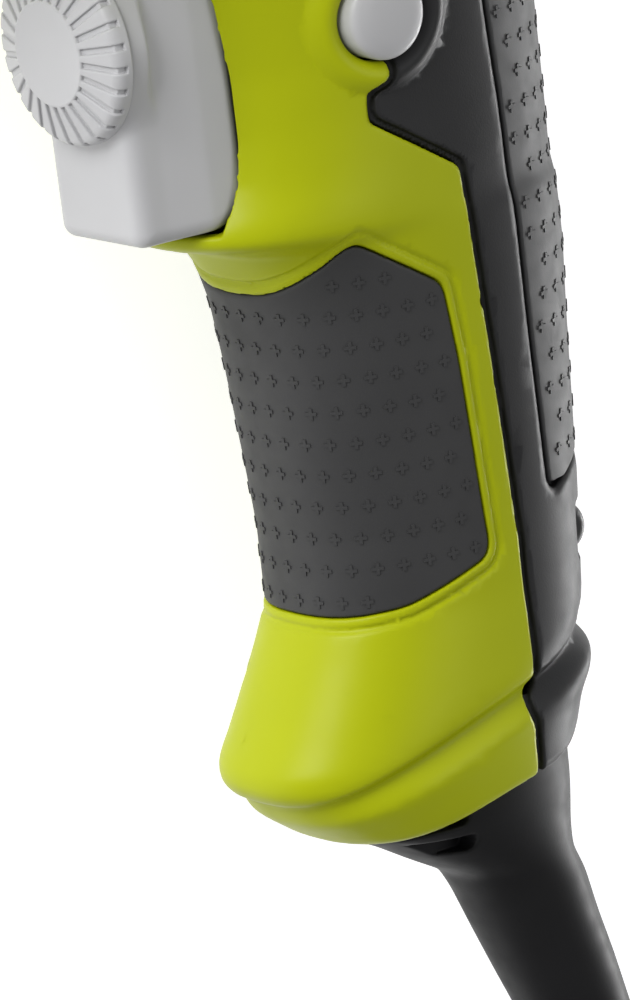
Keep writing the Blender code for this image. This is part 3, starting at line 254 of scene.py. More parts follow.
@dataclass
class Stencil:
    """The distance to an outline drawn on the grip's middle plane, with softened corners."""

    outline: Sequence[tuple[float, float]]
    softness: float = 0.8
    low: tuple[float, float] = (-70.0, -90.0)
    size: tuple[int, int] = (640, 1060)
    step: float = 0.25

    def __post_init__(self) -> None:
        """Samples the distance once over the plane."""
        e = self.low[0] + self.step * np.arange(self.size[0])[:, None]
        w = self.low[1] + self.step * np.arange(self.size[1])[None, :]
        best = np.full(self.size, 1e9)
        inside = np.zeros(self.size, bool)
        corners = list(self.outline)
        for (x0, y0), (x1, y1) in zip(corners, corners[1:] + corners[:1]):
            dx, dy = x1 - x0, y1 - y0
            along = np.clip(((e - x0) * dx + (w - y0) * dy) / (dx * dx + dy * dy), 0, 1)
            best = np.minimum(best, (e - x0 - along * dx) ** 2 + (w - y0 - along * dy) ** 2)
            if y0 != y1:
                crosses = (w < y0) != (w < y1)
                inside ^= crosses & (e < x0 + (w - y0) * dx / dy)
        distance = np.where(inside, -1, 1) * np.sqrt(best)
        distance = np.apply_along_axis(smoothed, 0, distance, self.step, self.softness)
        self.values = np.apply_along_axis(smoothed, 1, distance, self.step, self.softness).astype(np.float32)

    def __call__(self, e: Array, w: Array) -> Array:
        """The distance at places, negative inside.

        Args:
            e: places forward across the grip.
            w: places up along the grip.

        Returns:
            The distances there, negative inside.
        """
        x = np.clip((e - self.low[0]) / self.step, 0, self.size[0] - 1.001)
        y = np.clip((w - self.low[1]) / self.step, 0, self.size[1] - 1.001)
        i, j = x.astype(np.int32), y.astype(np.int32)
        x, y, v = x - i, y - j, self.values
        low = v[i, j] * (1 - x) + v[i + 1, j] * x
        high = v[i, j + 1] * (1 - x) + v[i + 1, j + 1] * x
        return (low * (1 - y) + high * y).astype(np.float32)


@dataclass
class Casting:
    """A solid cast from a field inside a box of the grip's frame."""

    name: str
    shape: Field
    low: Point
    high: Point
    pitch: float = FINE
    flatness: float = 0.0

    def surface(self) -> tuple[Array, Array]:
        """The points and triangles of the field's zero surface, in the grip's frame.

        Returns:
            The points and the triangles.
        """
        pitch, rows = self.pitch, 24
        axes = [np.arange(a, b + pitch, pitch, dtype=np.float32) for a, b in zip(self.low, self.high)]
        grid = np.empty([len(axis) for axis in axes], np.float32)
        w, left = axes[1][None, :, None], axes[2][None, None, :]
        for start in range(0, len(axes[0]), rows):
            e = axes[0][start:start + rows, None, None]
            grid[start:start + rows] = self.shape(e, w, left)
        for side in ((0,), (-1,)):
            grid[side, :, :] = grid[:, side, :] = grid[:, :, side] = pitch
        volume = openvdb.FloatGrid(background=BAND * pitch)
        volume.copyFromArray(np.clip(grid / pitch, -BAND, BAND) * pitch)
        points, triangles, quads = volume.convertToPolygons(isovalue=0.0, adaptivity=self.flatness)
        faces = [triangles.reshape(-1, 3)]
        if len(quads):
            faces.append(halved(points, quads))
        return points * pitch + np.array(self.low, np.float32), np.concatenate(faces)

    def slope(self, points: Array) -> tuple[Array, Array]:
        """The field and its gradient at points.

        Args:
            points: rows of e, w and l.

        Returns:
            The field's values and its gradients.
        """
        step = 0.5 * self.pitch
        columns = [points[:, k] for k in range(3)]
        here = self.shape(*columns)
        gradient = np.empty_like(points)
        for k in range(3):
            ahead, behind = list(columns), list(columns)
            ahead[k], behind[k] = columns[k] + step, columns[k] - step
            gradient[:, k] = (self.shape(*ahead) - self.shape(*behind)) / (2 * step)
        return here, gradient

    def settle(self, points: Array, limit: float) -> tuple[Array, Array]:
        """Points moved onto the surface by at most a limit, and the surface's directions there.

        Args:
            points: rows of e, w and l.
            limit: how far a point may move at a time.

        Returns:
            The moved points and the surface's directions there.
        """
        for _ in range(2):
            here, gradient = self.slope(points)
            length2 = np.maximum((gradient ** 2).sum(1), 1e-4)
            move = -(here / length2)[:, None] * gradient
            reach = np.linalg.norm(move, axis=1)
            points = points + move * np.minimum(1, limit / np.maximum(reach, 1e-9))[:, None]
        _, gradient = self.slope(points)
        return points, gradient / np.maximum(np.linalg.norm(gradient, axis=1), 1e-6)[:, None]

    def cast(self) -> tuple[Array, Array, Array]:
        """The settled points, the faces and the points' directions, in the grip's frame.

        A point whose face was turned over by settling is moved back towards where it was.

        Returns:
            The points, the faces and the directions.
        """
        rough, faces = self.surface()
        rough = rough.astype(np.float32)
        points, normals = self.settle(rough, 0.5 * self.pitch)
        directions = grip_vectors_to_world(normals)[faces].sum(1)
        for _ in range(3):
            a, b, c = (grip_points_to_world(points)[faces[:, k]] for k in range(3))
            facing = (np.cross(b - a, c - a) * directions).sum(1)
            if facing.sum() < 0:
                faces, facing = faces[:, ::-1], -facing
            folded = np.unique(faces[facing < 0])
            points[folded] = 0.5 * (points[folded] + rough[folded])
        return points, faces, normals

    def pour(self) -> bpy.types.Object:
        """The finished piece, smooth by the field's own directions."""
        return shaded(self.name, *self.cast())


def halved(points: Array, quads: Array) -> Array:
    """Four-sided faces cut along the diagonal whose two triangles lie flatter together.

    Args:
        points: rows of e, w and l.
        quads: four point numbers for each face.

    Returns:
        Three point numbers for each triangle.
    """
    cuts = ((0, 1, 2), (0, 2, 3)), ((1, 2, 3), (1, 3, 0))
    flat = []
    for pair in cuts:
        sides = []
        for corners in pair:
            a, b, c = (points[quads[:, k]] for k in corners)
            side = np.cross(b - a, c - a)
            sides.append(side / np.maximum(np.linalg.norm(side, axis=1), 1e-9)[:, None])
        flat.append((sides[0] * sides[1]).sum(1))
    better = (flat[1] > flat[0] + 1e-3)[:, None]
    return np.concatenate([np.where(better, quads[:, cuts[1][k]], quads[:, cuts[0][k]]) for k in range(2)])


def shaded(name: str, points: Array, faces: Array, normals: Array) -> bpy.types.Object:
    """A piece of some faces over points of the grip's frame, smooth by the directions given there.

    Args:
        name: the piece's name.
        points: rows of e, w and l.
        faces: three point numbers for each triangle.
        normals: the points' directions.

    Returns:
        The piece.
    """
    used, where = np.unique(faces, return_inverse=True)
    mesh = bpy.data.meshes.new(name)
    mesh.from_pydata(grip_points_to_world(points[used]).tolist(), [], where.reshape(-1, 3).tolist())
    piece = bpy.data.objects.new(name, mesh)
    bpy.context.scene.collection.objects.link(piece)
    mesh.shade_smooth()
    mesh.normals_split_custom_set_from_vertices(grip_vectors_to_world(normals[used]).tolist())
    return piece


# --- finishes ---------------------------------------------------------------------------------------------
@dataclass(frozen=True)
class Finish:
    """A procedural finish: colour with soft variation, gloss with its own, and a fine moulded grain."""

    slot: str
    colour: Point
    other: Point
    roughness: tuple[float, float]
    metallic: float = 0.0
    grain: float = 0.35
    depth: float = 0.01
    patch: float = 18.0
    specular: float = 0.5
    brushed: Point = (1.0, 1.0, 1.0)
    label: str = ""

    def make(self) -> bpy.types.Material:
        """The material, made once.

        Returns:
            The material.
        """
        name = f"{self.label or self.slot}_finish"
        if name in bpy.data.materials:
            return bpy.data.materials[name]
        material = bpy.data.materials.new(name)
        material.use_nodes = True
        nodes, links = material.node_tree.nodes, material.node_tree.links
        shader = nodes["Principled BSDF"]
        shader.inputs["Metallic"].default_value = self.metallic
        shader.inputs["Specular IOR Level"].default_value = self.specular
        place = nodes.new("ShaderNodeTexCoord")
        stretch = nodes.new("ShaderNodeMapping")
        stretch.inputs["Scale"].default_value = self.brushed
        links.new(place.outputs["Object"], stretch.inputs["Vector"])

        def noise(size: float, detail: float) -> bpy.types.Node:
            """A noise whose patches have a size in millimetres.

            Args:
                size: the patches' size in millimetres.
                detail: how many finer layers it has.

            Returns:
                The noise node.
            """
            node = nodes.new("ShaderNodeTexNoise")
            node.inputs["Scale"].default_value = 1000.0 / size
            node.inputs["Detail"].default_value = detail
            links.new(stretch.outputs["Vector"], node.inputs["Vector"])
            return node

        def spread(source: bpy.types.Node, low: float, high: float) -> bpy.types.NodeSocket:
            """A noise's middle values, spread from low to high.

            Args:
                source: the noise node.
                low: the lowest value.
                high: the highest value.

            Returns:
                The socket that gives them.
            """
            node = nodes.new("ShaderNodeMapRange")
            node.inputs["From Min"].default_value, node.inputs["From Max"].default_value = 0.3, 0.7
            node.inputs["To Min"].default_value, node.inputs["To Max"].default_value = low, high
            links.new(source.outputs["Fac"], node.inputs["Value"])
            return node.outputs["Result"]

        wide, fine, middle = noise(self.patch, 2.0), noise(self.grain, 3.0), noise(self.patch / 6, 4.0)
        mix = nodes.new("ShaderNodeMix")
        mix.data_type = "RGBA"
        mix.inputs["A"].default_value = (*self.colour, 1)
        mix.inputs["B"].default_value = (*self.other, 1)
        links.new(spread(wide, 0.0, 1.0), mix.inputs["Factor"])
        links.new(mix.outputs["Result"], shader.inputs["Base Color"])
        links.new(spread(middle, *self.roughness), shader.inputs["Roughness"])
        relief = nodes.new("ShaderNodeBump")
        relief.inputs["Strength"].default_value = 0.6
        relief.inputs["Distance"].default_value = self.depth * MM
        links.new(fine.outputs["Fac"], relief.inputs["Height"])
        links.new(relief.outputs["Normal"], shader.inputs["Normal"])
        return material

    def dress(self, piece: bpy.types.Object) -> None:
        """Gives a piece this finish all over."""
        piece.data.materials.clear()
        piece.data.materials.append(self.make())


LIME = Finish("lime_plastic", (0.375, 0.420, 0.001), (0.360, 0.405, 0.001), (0.36, 0.42), grain=0.5,
              depth=0.006, specular=0.18)
DARK = Finish("dark_plastic", (0.021, 0.021, 0.022), (0.018, 0.018, 0.019), (0.42, 0.50), grain=0.30,
              depth=0.03, specular=0.20)
GRIP = Finish("grip_rubber", (0.037, 0.037, 0.038), (0.032, 0.032, 0.033), (0.52, 0.62), grain=0.30,
              depth=0.02, specular=0.36)
PALE = Finish("pale_plastic", (0.455, 0.455, 0.465), (0.43, 0.43, 0.44), (0.34, 0.40), grain=0.5,
              depth=0.004, specular=0.35)
RUBBER = Finish("black_rubber", (0.012, 0.012, 0.013), (0.009, 0.009, 0.010), (0.42, 0.52), grain=0.45,
                depth=0.02, specular=0.14)
BLACK = Finish("black_plastic", (0.016, 0.016, 0.017), (0.012, 0.012, 0.013), (0.38, 0.48), grain=0.4,
               depth=0.01)
ALLOY = Finish("cast_alloy", (0.40, 0.40, 0.41), (0.34, 0.34, 0.35), (0.42, 0.55), metallic=1.0, grain=0.6,
               depth=0.05)
STEEL = Finish("steel", (0.50, 0.50, 0.51), (0.44, 0.44, 0.45), (0.22, 0.34), metallic=1.0, grain=0.4,
               depth=0.006)
CHUCK = Finish("chuck_steel", (0.33, 0.33, 0.34), (0.27, 0.27, 0.28), (0.28, 0.40), metallic=1.0, grain=0.3,
               depth=0.008, brushed=(1.0, 0.2, 0.2))
OXIDE = Finish("steel", (0.010, 0.010, 0.011), (0.007, 0.007, 0.008), (0.34, 0.44), grain=0.4, depth=0.006,
               specular=0.4, label="blackened_steel")
LAMINATION = Finish("lamination", (0.24, 0.24, 0.25), (0.18, 0.18, 0.19), (0.40, 0.55), metallic=1.0,
                    grain=0.5, depth=0.08, brushed=(1.0, 0.02, 0.02))
COPPER = Finish("copper", (0.72, 0.30, 0.13), (0.60, 0.22, 0.09), (0.25, 0.38), metallic=1.0, grain=0.5,
                depth=0.05, brushed=(0.05, 1.0, 1.0))
BRASS = Finish("brass", (0.72, 0.52, 0.22), (0.64, 0.44, 0.17), (0.22, 0.32), metallic=1.0, grain=0.4,
               depth=0.006)
CARBON = Finish("carbon", (0.030, 0.030, 0.031), (0.022, 0.022, 0.023), (0.60, 0.80), grain=0.3, depth=0.03)
FINISHES = {finish.slot: finish for finish in (LIME, DARK, GRIP, PALE, RUBBER, BLACK, ALLOY, STEEL, CHUCK,
                                               LAMINATION, COPPER, BRASS, CARBON)}


def stand_for(piece: bpy.types.Object, body: str, finish: Finish, *nodes: str) -> bpy.types.Object:
    """Dresses a piece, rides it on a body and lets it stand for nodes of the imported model.

    Args:
        piece: the finished piece, in place.
        body: the body that it moves with.
        finish: its finish.
        nodes: the nodes that it stands for.

    Returns:
        The piece.
    """
    finish.dress(piece)
    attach(piece, body)
    if nodes:
        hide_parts(*nodes)
    LOG.info("%s: %d faces", piece.name, len(piece.data.polygons))
    return piece


# --- modelling by hand ------------------------------------------------------------------------------------
def deselect() -> None:
    """Nothing stays selected."""
    if bpy.context.object and bpy.context.object.mode != "OBJECT":
        bpy.ops.object.mode_set(mode="OBJECT")
    bpy.ops.object.select_all(action="DESELECT")


def take(piece: bpy.types.Object) -> None:
    """Makes a piece the only selected one.

    Args:
        piece: the piece.
    """
    deselect()
    piece.select_set(True)
    bpy.context.view_layer.objects.active = piece


def pick(piece: bpy.types.Object, wanted: Callable[[Vector, Vector], bool]) -> int:
    """Selects a piece's faces by their middle and normal, and leaves it in edit mode.

    Args:
        piece: the piece.
        wanted: says of a middle and a normal whether the face is wanted.

    Returns:
        How many were selected.
    """
    take(piece)
    bpy.ops.object.mode_set(mode="EDIT")
    bpy.ops.mesh.select_mode(type="FACE")
    bpy.ops.mesh.select_all(action="DESELECT")
    shape = bmesh.from_edit_mesh(piece.data)
    count = 0
    for face in shape.faces:
        if wanted(face.calc_center_median(), face.normal):
            face.select_set(True)
            count += 1
    shape.select_flush_mode()
    bmesh.update_edit_mesh(piece.data)
    return count


def done(piece: bpy.types.Object, matrix: Matrix | None = None, smooth: float = 35.0) -> bpy.types.Object:
    """Leaves edit mode, stands the piece in place, turns its faces outwards and smooths its gentle edges.

    Args:
        piece: the piece.
        matrix: where it is stood, or None.
        smooth: the sharpest angle, in degrees, that is smoothed over.

    Returns:
        The piece.
    """
    take(piece)
    bpy.ops.object.mode_set(mode="EDIT")
    bpy.ops.mesh.select_all(action="SELECT")
    bpy.ops.mesh.remove_doubles(threshold=WELD)
    bpy.ops.mesh.normals_make_consistent(inside=False)
    bpy.ops.object.mode_set(mode="OBJECT")
    if matrix is not None:
        piece.data.transform(matrix)
    bpy.ops.object.shade_smooth_by_angle(angle=math.radians(smooth))
    return piece


def turned(name: str, profile: Sequence[tuple[float, float]], steps: int = 64) -> bpy.types.Object:
    """A profile of radius and height in millimetres, spun once about z.

    Args:
        name: the piece's name.
        profile: radius and height of each point, in millimetres.
        steps: how many sides it has.

    Returns:
        The piece.
    """
    bpy.ops.object.select_all(action="DESELECT")
    mesh = bpy.data.meshes.new(name)
    mesh.from_pydata([(r * MM, 0, h * MM) for r, h in profile],
                     [(k, k + 1) for k in range(len(profile) - 1)], [])
    piece = bpy.data.objects.new(name, mesh)
    bpy.context.scene.collection.objects.link(piece)
    take(piece)
    bpy.ops.object.mode_set(mode="EDIT")
    bpy.ops.mesh.select_all(action="SELECT")
    bpy.ops.mesh.spin(steps=steps, angle=2 * math.pi, center=(0, 0, 0), axis=(0, 0, 1))
    bpy.ops.mesh.remove_doubles(threshold=WELD)
    bpy.ops.mesh.normals_make_consistent(inside=False)
    bpy.ops.object.mode_set(mode="OBJECT")
    return piece


def rounded_profile(corners: Sequence[tuple[float, float, float]],
                    steps: int = 4) -> list[tuple[float, float]]:
    """A profile's corners, each rounded by its own radius.

    Args:
        corners: radius, height and rounding of each corner, in millimetres.
        steps: how many steps each rounding takes.

    Returns:
        The profile's points.
    """
    points: list[tuple[float, float]] = []
    for k, (x, y, r) in enumerate(corners):
        if r <= 0 or k in (0, len(corners) - 1):
            points.append((x, y))
            continue
        here = Vector((x, y))
        back = Vector(corners[k - 1][:2]) - here
        ahead = Vector(corners[k + 1][:2]) - here
        reach = min(r, 0.49 * back.length, 0.49 * ahead.length)
        start, end = here + back.normalized() * reach, here + ahead.normalized() * reach
        for j in range(steps + 1):
            t = j / steps
            point = start * (1 - t) ** 2 + here * 2 * t * (1 - t) + end * t ** 2
            points.append((point.x, point.y))
    return points


# --- casing -----------------------------------------------------------------------------------------------
@dataclass
class CasingForm:
    """The drill's outer form: a raked grip that runs into a barrel, with a foot at its bottom."""

    stations: Sequence[tuple[float, float, float, float]] = (
        (-66.0, -16.0, 12.0, 15.0), (-58.0, -18.0, 19.0, 17.0), (-54.0, -19.5, 25.5, 18.0),
        (-51.0, -20.8, 29.0, 18.6), (-48.5, -21.4, 31.8, 18.9), (-46.5, -21.7, 33.7, 19.0),
        (-44.5, -22.2, 35.0, 19.0), (-42.0, -22.6, 34.8, 19.0), (-38.0, -23.0, 32.1, 18.8),
        (-33.0, -23.7, 29.2, 18.4), (-27.3, -24.3, 26.0, 18.0), (-21.7, -24.9, 23.2, 17.6),
        (-10.0, -25.9, 22.8, 18.0), (0.0, -26.4, 23.4, 18.6), (14.0, -27.1, 24.4, 19.4),
        (24.0, -27.7, 25.4, 20.2), (30.0, -27.6, 27.0, 20.8), (34.3, -27.5, 29.5, 21.2),
        (36.0, -27.5, 38.5, 21.3), (37.8, -27.5, 39.7, 21.3), (39.8, -27.5, 39.0, 21.4),
        (42.0, -27.5, 37.2, 21.4), (45.0, -27.4, 35.5, 21.5), (51.0, -27.4, 34.4, 21.6),
        (60.0, -27.3, 34.0, 22.2), (82.0, -27.0, 36.0, 24.0), (94.0, -27.0, 42.0, 25.5),
        (106.0, -26.0, 48.0, 27.0),
    )
    roundness: float = 2.4
    barrel_roundness: float = 2.5
    barrel_rear: float = -57.0
    barrel_front: float = 76.0
    barrel_half_width: float = 34.5
    barrel_half_height: float = 35.0
    barrel_fillet: float = 9.0
    grip_top: float = 112.0
    wall: float = 2.6
    panel_ends: tuple[float, float] = (-30.0, 44.0)
    panel_half: float = 17.0
    panel_side: float = 36.0
    sole_slope: float = 0.977
    sole_line: Sequence[tuple[float, float]] = (
        (-40.0, -38.0), (-22.0, -40.5), (-19.0, -43.8), (-17.0, -46.4), (-13.0, -48.9), (-9.0, -49.8),
        (-4.0, -50.4), (1.3, -51.1), (6.5, -52.2), (12.0, -53.4), (17.5, -54.5), (22.0, -55.1),
        (27.0, -55.5), (45.0, -55.7),
    )
    groove_line: Sequence[tuple[float, float]] = (
        (-40.0, -27.0), (-26.0, -30.6), (-18.0, -33.0), (-10.0, -35.3), (-4.2, -36.4), (2.6, -37.9),
        (10.3, -40.0), (20.3, -43.0), (28.3, -45.7), (33.0, -47.2), (42.0, -49.5),
    )
    foot_profile: Sequence[tuple[float, float]] = (
        (-16.0, 0.8), (-12.0, 0.7), (-8.0, 0.45), (-5.4, 0.12), (-4.4, 0.1), (-3.4, 0.4), (-0.9, 1.5),
        (-0.2, 1.65), (0.35, 0.9), (1.0, 0.28), (2.2, 0.08), (4.0, 0.0), (10.0, 0.0),
    )
    collar_at: tuple[float, float] = BUTTON_AT
    collar_radius: float = 8.9
    collar_half: float = 2.0
    collar_height: float = 1.3

    def __post_init__(self) -> None:
        """Draws the grip's lines and the foot's profile."""
        self.rear = Curve([(s[0], s[1]) for s in self.stations], 1.6)
        self.front = Curve([(s[0], s[2]) for s in self.stations], 0.8)
        self.groove = Curve(self.groove_line, 2.0)
        self.half = Curve([(s[0], s[3]) for s in self.stations], 2.0)
        self.foot = Curve(self.foot_profile, 0.22, 0.05)
        self.sole = Curve(self.sole_line, 1.2)
        ends = ((0.0, 0.64), (2.0, 0.80), (7.0, 0.92), (17.0, 0.985), (30.0, 1.0), (119.0, 1.0),
                (133.0, 0.98))
        self.taper = Curve([(self.barrel_rear + x, y) for x, y in ends], 1.0)

    def grip(self, e: Array, w: Array, left: Array) -> Array:
        """The distance to the grip's plain form.

        Args:
            e: places forward across the grip.
            w: places up along the grip.
            left: places to the left.

        Returns:
            The distances there, negative inside.
        """
        rear, front = self.rear(w), self.front(w)
        return oval(e - (rear + front) / 2, left, (front - rear) / 2, self.half(w), self.roundness)

    def barrel(self, e: Array, w: Array, left: Array) -> Array:
        """The distance to the motor housing's plain form.

        Args:
            e: places forward across the grip.
            w: places up along the grip.
            left: places to the left.

        Returns:
            The distances there, negative inside.
        """
        forward, up = grip_to_tool(e, w)
        share = self.taper(forward)
        width, height = self.barrel_half_width * share, self.barrel_half_height * share
        round_body = oval(left, up - BARREL_UP, width, height, self.barrel_roundness)
        return trimmed(round_body, slab(forward, self.barrel_rear, self.barrel_front), 1.2)

    def above_sole(self, e: Array, w: Array) -> Array:
        """The height above the foot's sole."""
        return (w - self.sole(e)) * self.sole_slope

    def body(self, e: Array, w: Array, left: Array) -> Array:
        """The distance to the plain form of grip and barrel together."""
        grip = np.maximum(self.grip(e, w, left), w - self.grip_top)
        return merged(grip, self.barrel(e, w, left), self.barrel_fillet)

    def collar(self, e: Array, w: Array, left: Array) -> Array:
        """How far the ring around the lock button stands proud, on the left only.

        Args:
            e: places forward across the grip.
            w: places up along the grip.
            left: places to the left.

        Returns:
            The heights above the plain form.
        """
        radius = np.sqrt((e - self.collar_at[0]) ** 2 + (w - self.collar_at[1]) ** 2)
        across = np.clip(np.abs(radius - self.collar_radius) / (self.collar_half + 0.5), 0, 1)
        return self.collar_height * (1 - across ** 2) ** 1.2 * (left > 0)

    def skin(self, e: Array, w: Array, left: Array) -> Array:
        """The distance to the outer surface with its panels, collar and foot.

        Args:
            e: places forward across the grip.
            w: places up along the grip.
            left: places to the left.

        Returns:
            The distances there, negative inside.
        """
        forward, up = grip_to_tool(e, w)
        height = self.above_sole(e, w)
        over = w - self.groove(e)
        flare = np.clip((-4 - e) / 14, 0, 1) * (bump(over, -5.5, 3.4) * 1.2 - bump(over, 1.5, 1.6) * 0.5)
        d = self.body(e, w, left) + self.foot(over) - flare - self.collar(e, w, left)
        low, high, side = BARREL_UP - self.panel_half, BARREL_UP + self.panel_half, self.panel_side
        panel = brick(((forward, *self.panel_ends), (up, low, high), (left, -side, side)), 1.5)
        d = merged(d, panel, 1.2)
        return trimmed(d, -height, 1.4)

    def hollow(self, e: Array, w: Array, left: Array) -> Array:
        """The distance to the room inside the wall."""
        return trimmed(self.body(e, w, left) + self.wall, self.wall - self.above_sole(e, w), 1.0)


CASING = CasingForm()


@dataclass
class Casing:
    """The moulded casing: two halves, the rear cover and the two grip pads."""

    form: CasingForm = field(default_factory=lambda: CASING)
    seam: Sequence[tuple[float, float]] = (
        (-4.4, -80.0), (-4.2, -42.6), (-3.2, -41.0), (-3.1, -37.6), (-5.1, -36.2), (-5.4, -32.5),
        (-5.5, -15.4), (-4.3, -0.1), (-3.1, 15.1), (-1.5, 28.7), (-0.3, 41.4), (14.2, 51.0), (14.1, 55.4),
        (11.0, 56.6), (10.9, 60.0), (11.2, 62.5), (11.2, 79.0), (-6.0, 92.0), (-16.0, 165.0),
        (-90.0, 165.0), (-90.0, -80.0),
    )
    front_pad: Sequence[tuple[float, float]] = (
        (60.0, 28.4), (31.0, 28.4), (28.3, 26.1), (26.0, 26.5), (18.0, 34.5), (4.4, 25.4), (2.5, 13.6),
        (0.0, -14.6), (0.7, -16.2), (13.6, -20.3), (20.9, -21.1), (60.0, -19.0),
    )
    rear_pad: Sequence[tuple[float, float]] = (
        (-60.0, 74.0), (-7.3, 74.0), (-7.9, 63.4), (-9.3, 50.0), (-11.2, 15.8), (-12.6, -8.8),
        (-13.9, -10.3), (-22.0, -7.2), (-60.0, -7.2),
    )
    pad_thick: float = 1.8
    cross_across: float = 3.8
    cross_along: float = 4.7
    cross_margin: float = 1.9
    cross_rise: float = 0.08
    trigger_way: tuple[float, float, float] = (28.2, 38.8, 84.5)
    trigger_half: float = 11.85
    lever_way: tuple[float, float] = (86.4, 90.8)
    key_half: float = 4.2
    bar_half: float = 10.9
    head_hole: float = 3.7
    shank_hole: float = 1.7
    screw_deep: float = 24.5
    vents: Sequence[float] = (-41.0, -37.5, -34.0, 47.5, 51.0, 54.5, 58.0)
    screws: Sequence[tuple[float, float, float]] = (
        (12.0, -40.0, -14.0), (12.0, 36.0, -16.5), (62.0, 92.0, -21.5), (62.0, 148.0, -21.5),
        (-16.0, 148.0, -21.5),
    )

    def __post_init__(self) -> None:
        """Cuts the stencils."""
        self.cover_edge = Stencil(self.seam, 0.7)
        self.front_edge = Stencil(self.front_pad, 1.0)
        self.rear_edge = Stencil(self.rear_pad, 0.6)

    def lips(self, e: Array, w: Array) -> Array:
        """How far the surface dips in the grooves outside the pads' rims."""
        front, rear = self.front_edge(e, w), self.rear_edge(e, w)
        return 0.45 * bump(front, 1.75, 0.42) + 0.45 * bump(rear, 0.1, 0.65)

    def openings(self, e: Array, w: Array, left: Array) -> Array:
        """The distance to everything that is cut out of the wall.

        Args:
            e: places forward across the grip.
            w: places up along the grip.
            left: places to the left.

        Returns:
            The distances there, negative inside.
        """
        forward, up = grip_to_tool(e, w)
        rear, low, high = self.trigger_way
        way = trimmed(brick(((e, rear, 90.0), (w, low, high)), 7.6), np.abs(left) - self.trigger_half, 0.6)
        travel = brick(((e, 20.0, 30.0), (w, low, high), (left, -11.6, 11.6)), 0.5)
        slot = brick(((e, 15.0, 80.0), (w, *self.lever_way), (left, -11.0, 11.0)), 0.8)
        button = trimmed(np.sqrt((e - BUTTON_AT[0]) ** 2 + (w - BUTTON_AT[1]) ** 2) - BUTTON_RADIUS - 0.35,
                         -left, 0.2)
        cut = np.minimum(np.minimum(np.minimum(way, travel), slot), button)
        for at in self.vents:
            vent = brick(((forward, at - 1.0, at + 1.0), (up, BARREL_UP - 13, BARREL_UP + 13)), 0.9)
            cut = np.minimum(cut, np.maximum(vent, 20.0 - np.abs(left)))
        under, over, end = KEY_HEIGHT - self.key_half, KEY_HEIGHT + self.key_half, self.bar_half
        key = brick(((e, -60.0, -19.9), (w, under, over)), 0.8)
        bed = brick(((e, -60.0, -16.0), (w, under, over), (left, -end, end)), 0.8)
        shank = np.maximum(np.sqrt((w - KEY_HEIGHT) ** 2 + left ** 2) - 6.0, slab(e, -60.0, 14.0))
        cut = np.minimum(np.minimum(cut, bed), np.minimum(key, shank))
        for at, rise, seat in self.screws:
            radius = np.sqrt((forward - at) ** 2 + (up - rise) ** 2)
            cut = np.minimum(cut, np.maximum(radius - self.head_hole, left - seat))
            cut = np.minimum(cut, np.maximum(radius - self.shank_hole, left - seat - self.screw_deep))
        return cut

    def wall(self, e: Array, w: Array, left: Array) -> Array:
        """The distance to the hollow wall with its openings and pad pockets.

        Args:
            e: places forward across the grip.
            w: places up along the grip.
            left: places to the left.

        Returns:
            The distances there, negative inside.
        """
        form = self.form
        d = form.skin(e, w, left) + self.lips(e, w)
        body = form.grip(e, w, left)
        pocket = np.minimum(self.front_edge(e, w), self.rear_edge(e, w))
        d = trimmed(d, -np.maximum(pocket - 0.12, -body - self.pad_thick - 0.1), 0.4)
        d = np.maximum(d, -form.hollow(e, w, left))
        return trimmed(d, -self.openings(e, w, left), 0.6)

    def half(self, e: Array, w: Array, left: Array) -> Array:
        """The distance to the lime wall, ahead of the cover's seam."""
        return trimmed(self.wall(e, w, left), 0.1 - self.cover_edge(e, w), 0.55)

    def cover(self, e: Array, w: Array, left: Array) -> Array:
        """The distance to the rear cover, which is stepped down beside the seam.

        Args:
            e: places forward across the grip.
            w: places up along the grip.
            left: places to the left.

        Returns:
            The distances there, negative inside.
        """
        edge, wall = self.cover_edge(e, w), self.wall(e, w, left)
        upper = trimmed(wall, edge + 1.05, 0.35)
        lower = np.maximum(np.maximum(wall, self.form.skin(e, w, left) + 1.1), edge + 0.25)
        return np.minimum(upper, lower)

    def pad(self, edge: Stencil, e: Array, w: Array, left: Array) -> Array:
        """The distance to a rubber pad.

        Args:
            edge: the pad's outline.
            e: places forward across the grip.
            w: places up along the grip.
            left: places to the left.

        Returns:
            The distances there, negative inside.
        """
        skin = self.form.grip(e, w, left)
        shell = np.maximum(skin + 0.08, -skin - self.pad_thick)
        return trimmed(shell, edge(e, w) + 0.10, 0.5)

    def build(self) -> None:
        """Casts the five pieces."""
        housing = Casting("housing", self.half, (-24, -68, -38), (80, 168, 38), COARSE, FLAT)
        points, faces, normals = housing.cast()
        side = points[faces][:, :, 2].mean(1) > 0
        for name, chosen in (("housing_left", side), ("housing_right", ~side)):
            stand_for(shaded(name, points, faces[chosen], normals), "drill", LIME, name)
        cover = Casting("rear_cover", self.cover, (-86, -68, -38), (20, 168, 38), COARSE, FLAT).pour()
        stand_for(cover, "drill", DARK, "rear_cover")
        for name, edge, low, high in (
            ("front_grip_pad", self.front_edge, (-4, -27, -24), (32, 36, 24)),
            ("rear_grip_pad", self.rear_edge, (-31, -9, -24), (-8, 78, 24)),
        ):
            piece = Casting(name, partial(self.pad, edge), low, high, FINE).pour()
            self.stud(piece, edge, low[1], high[1])
            stand_for(piece, "drill", GRIP, name)

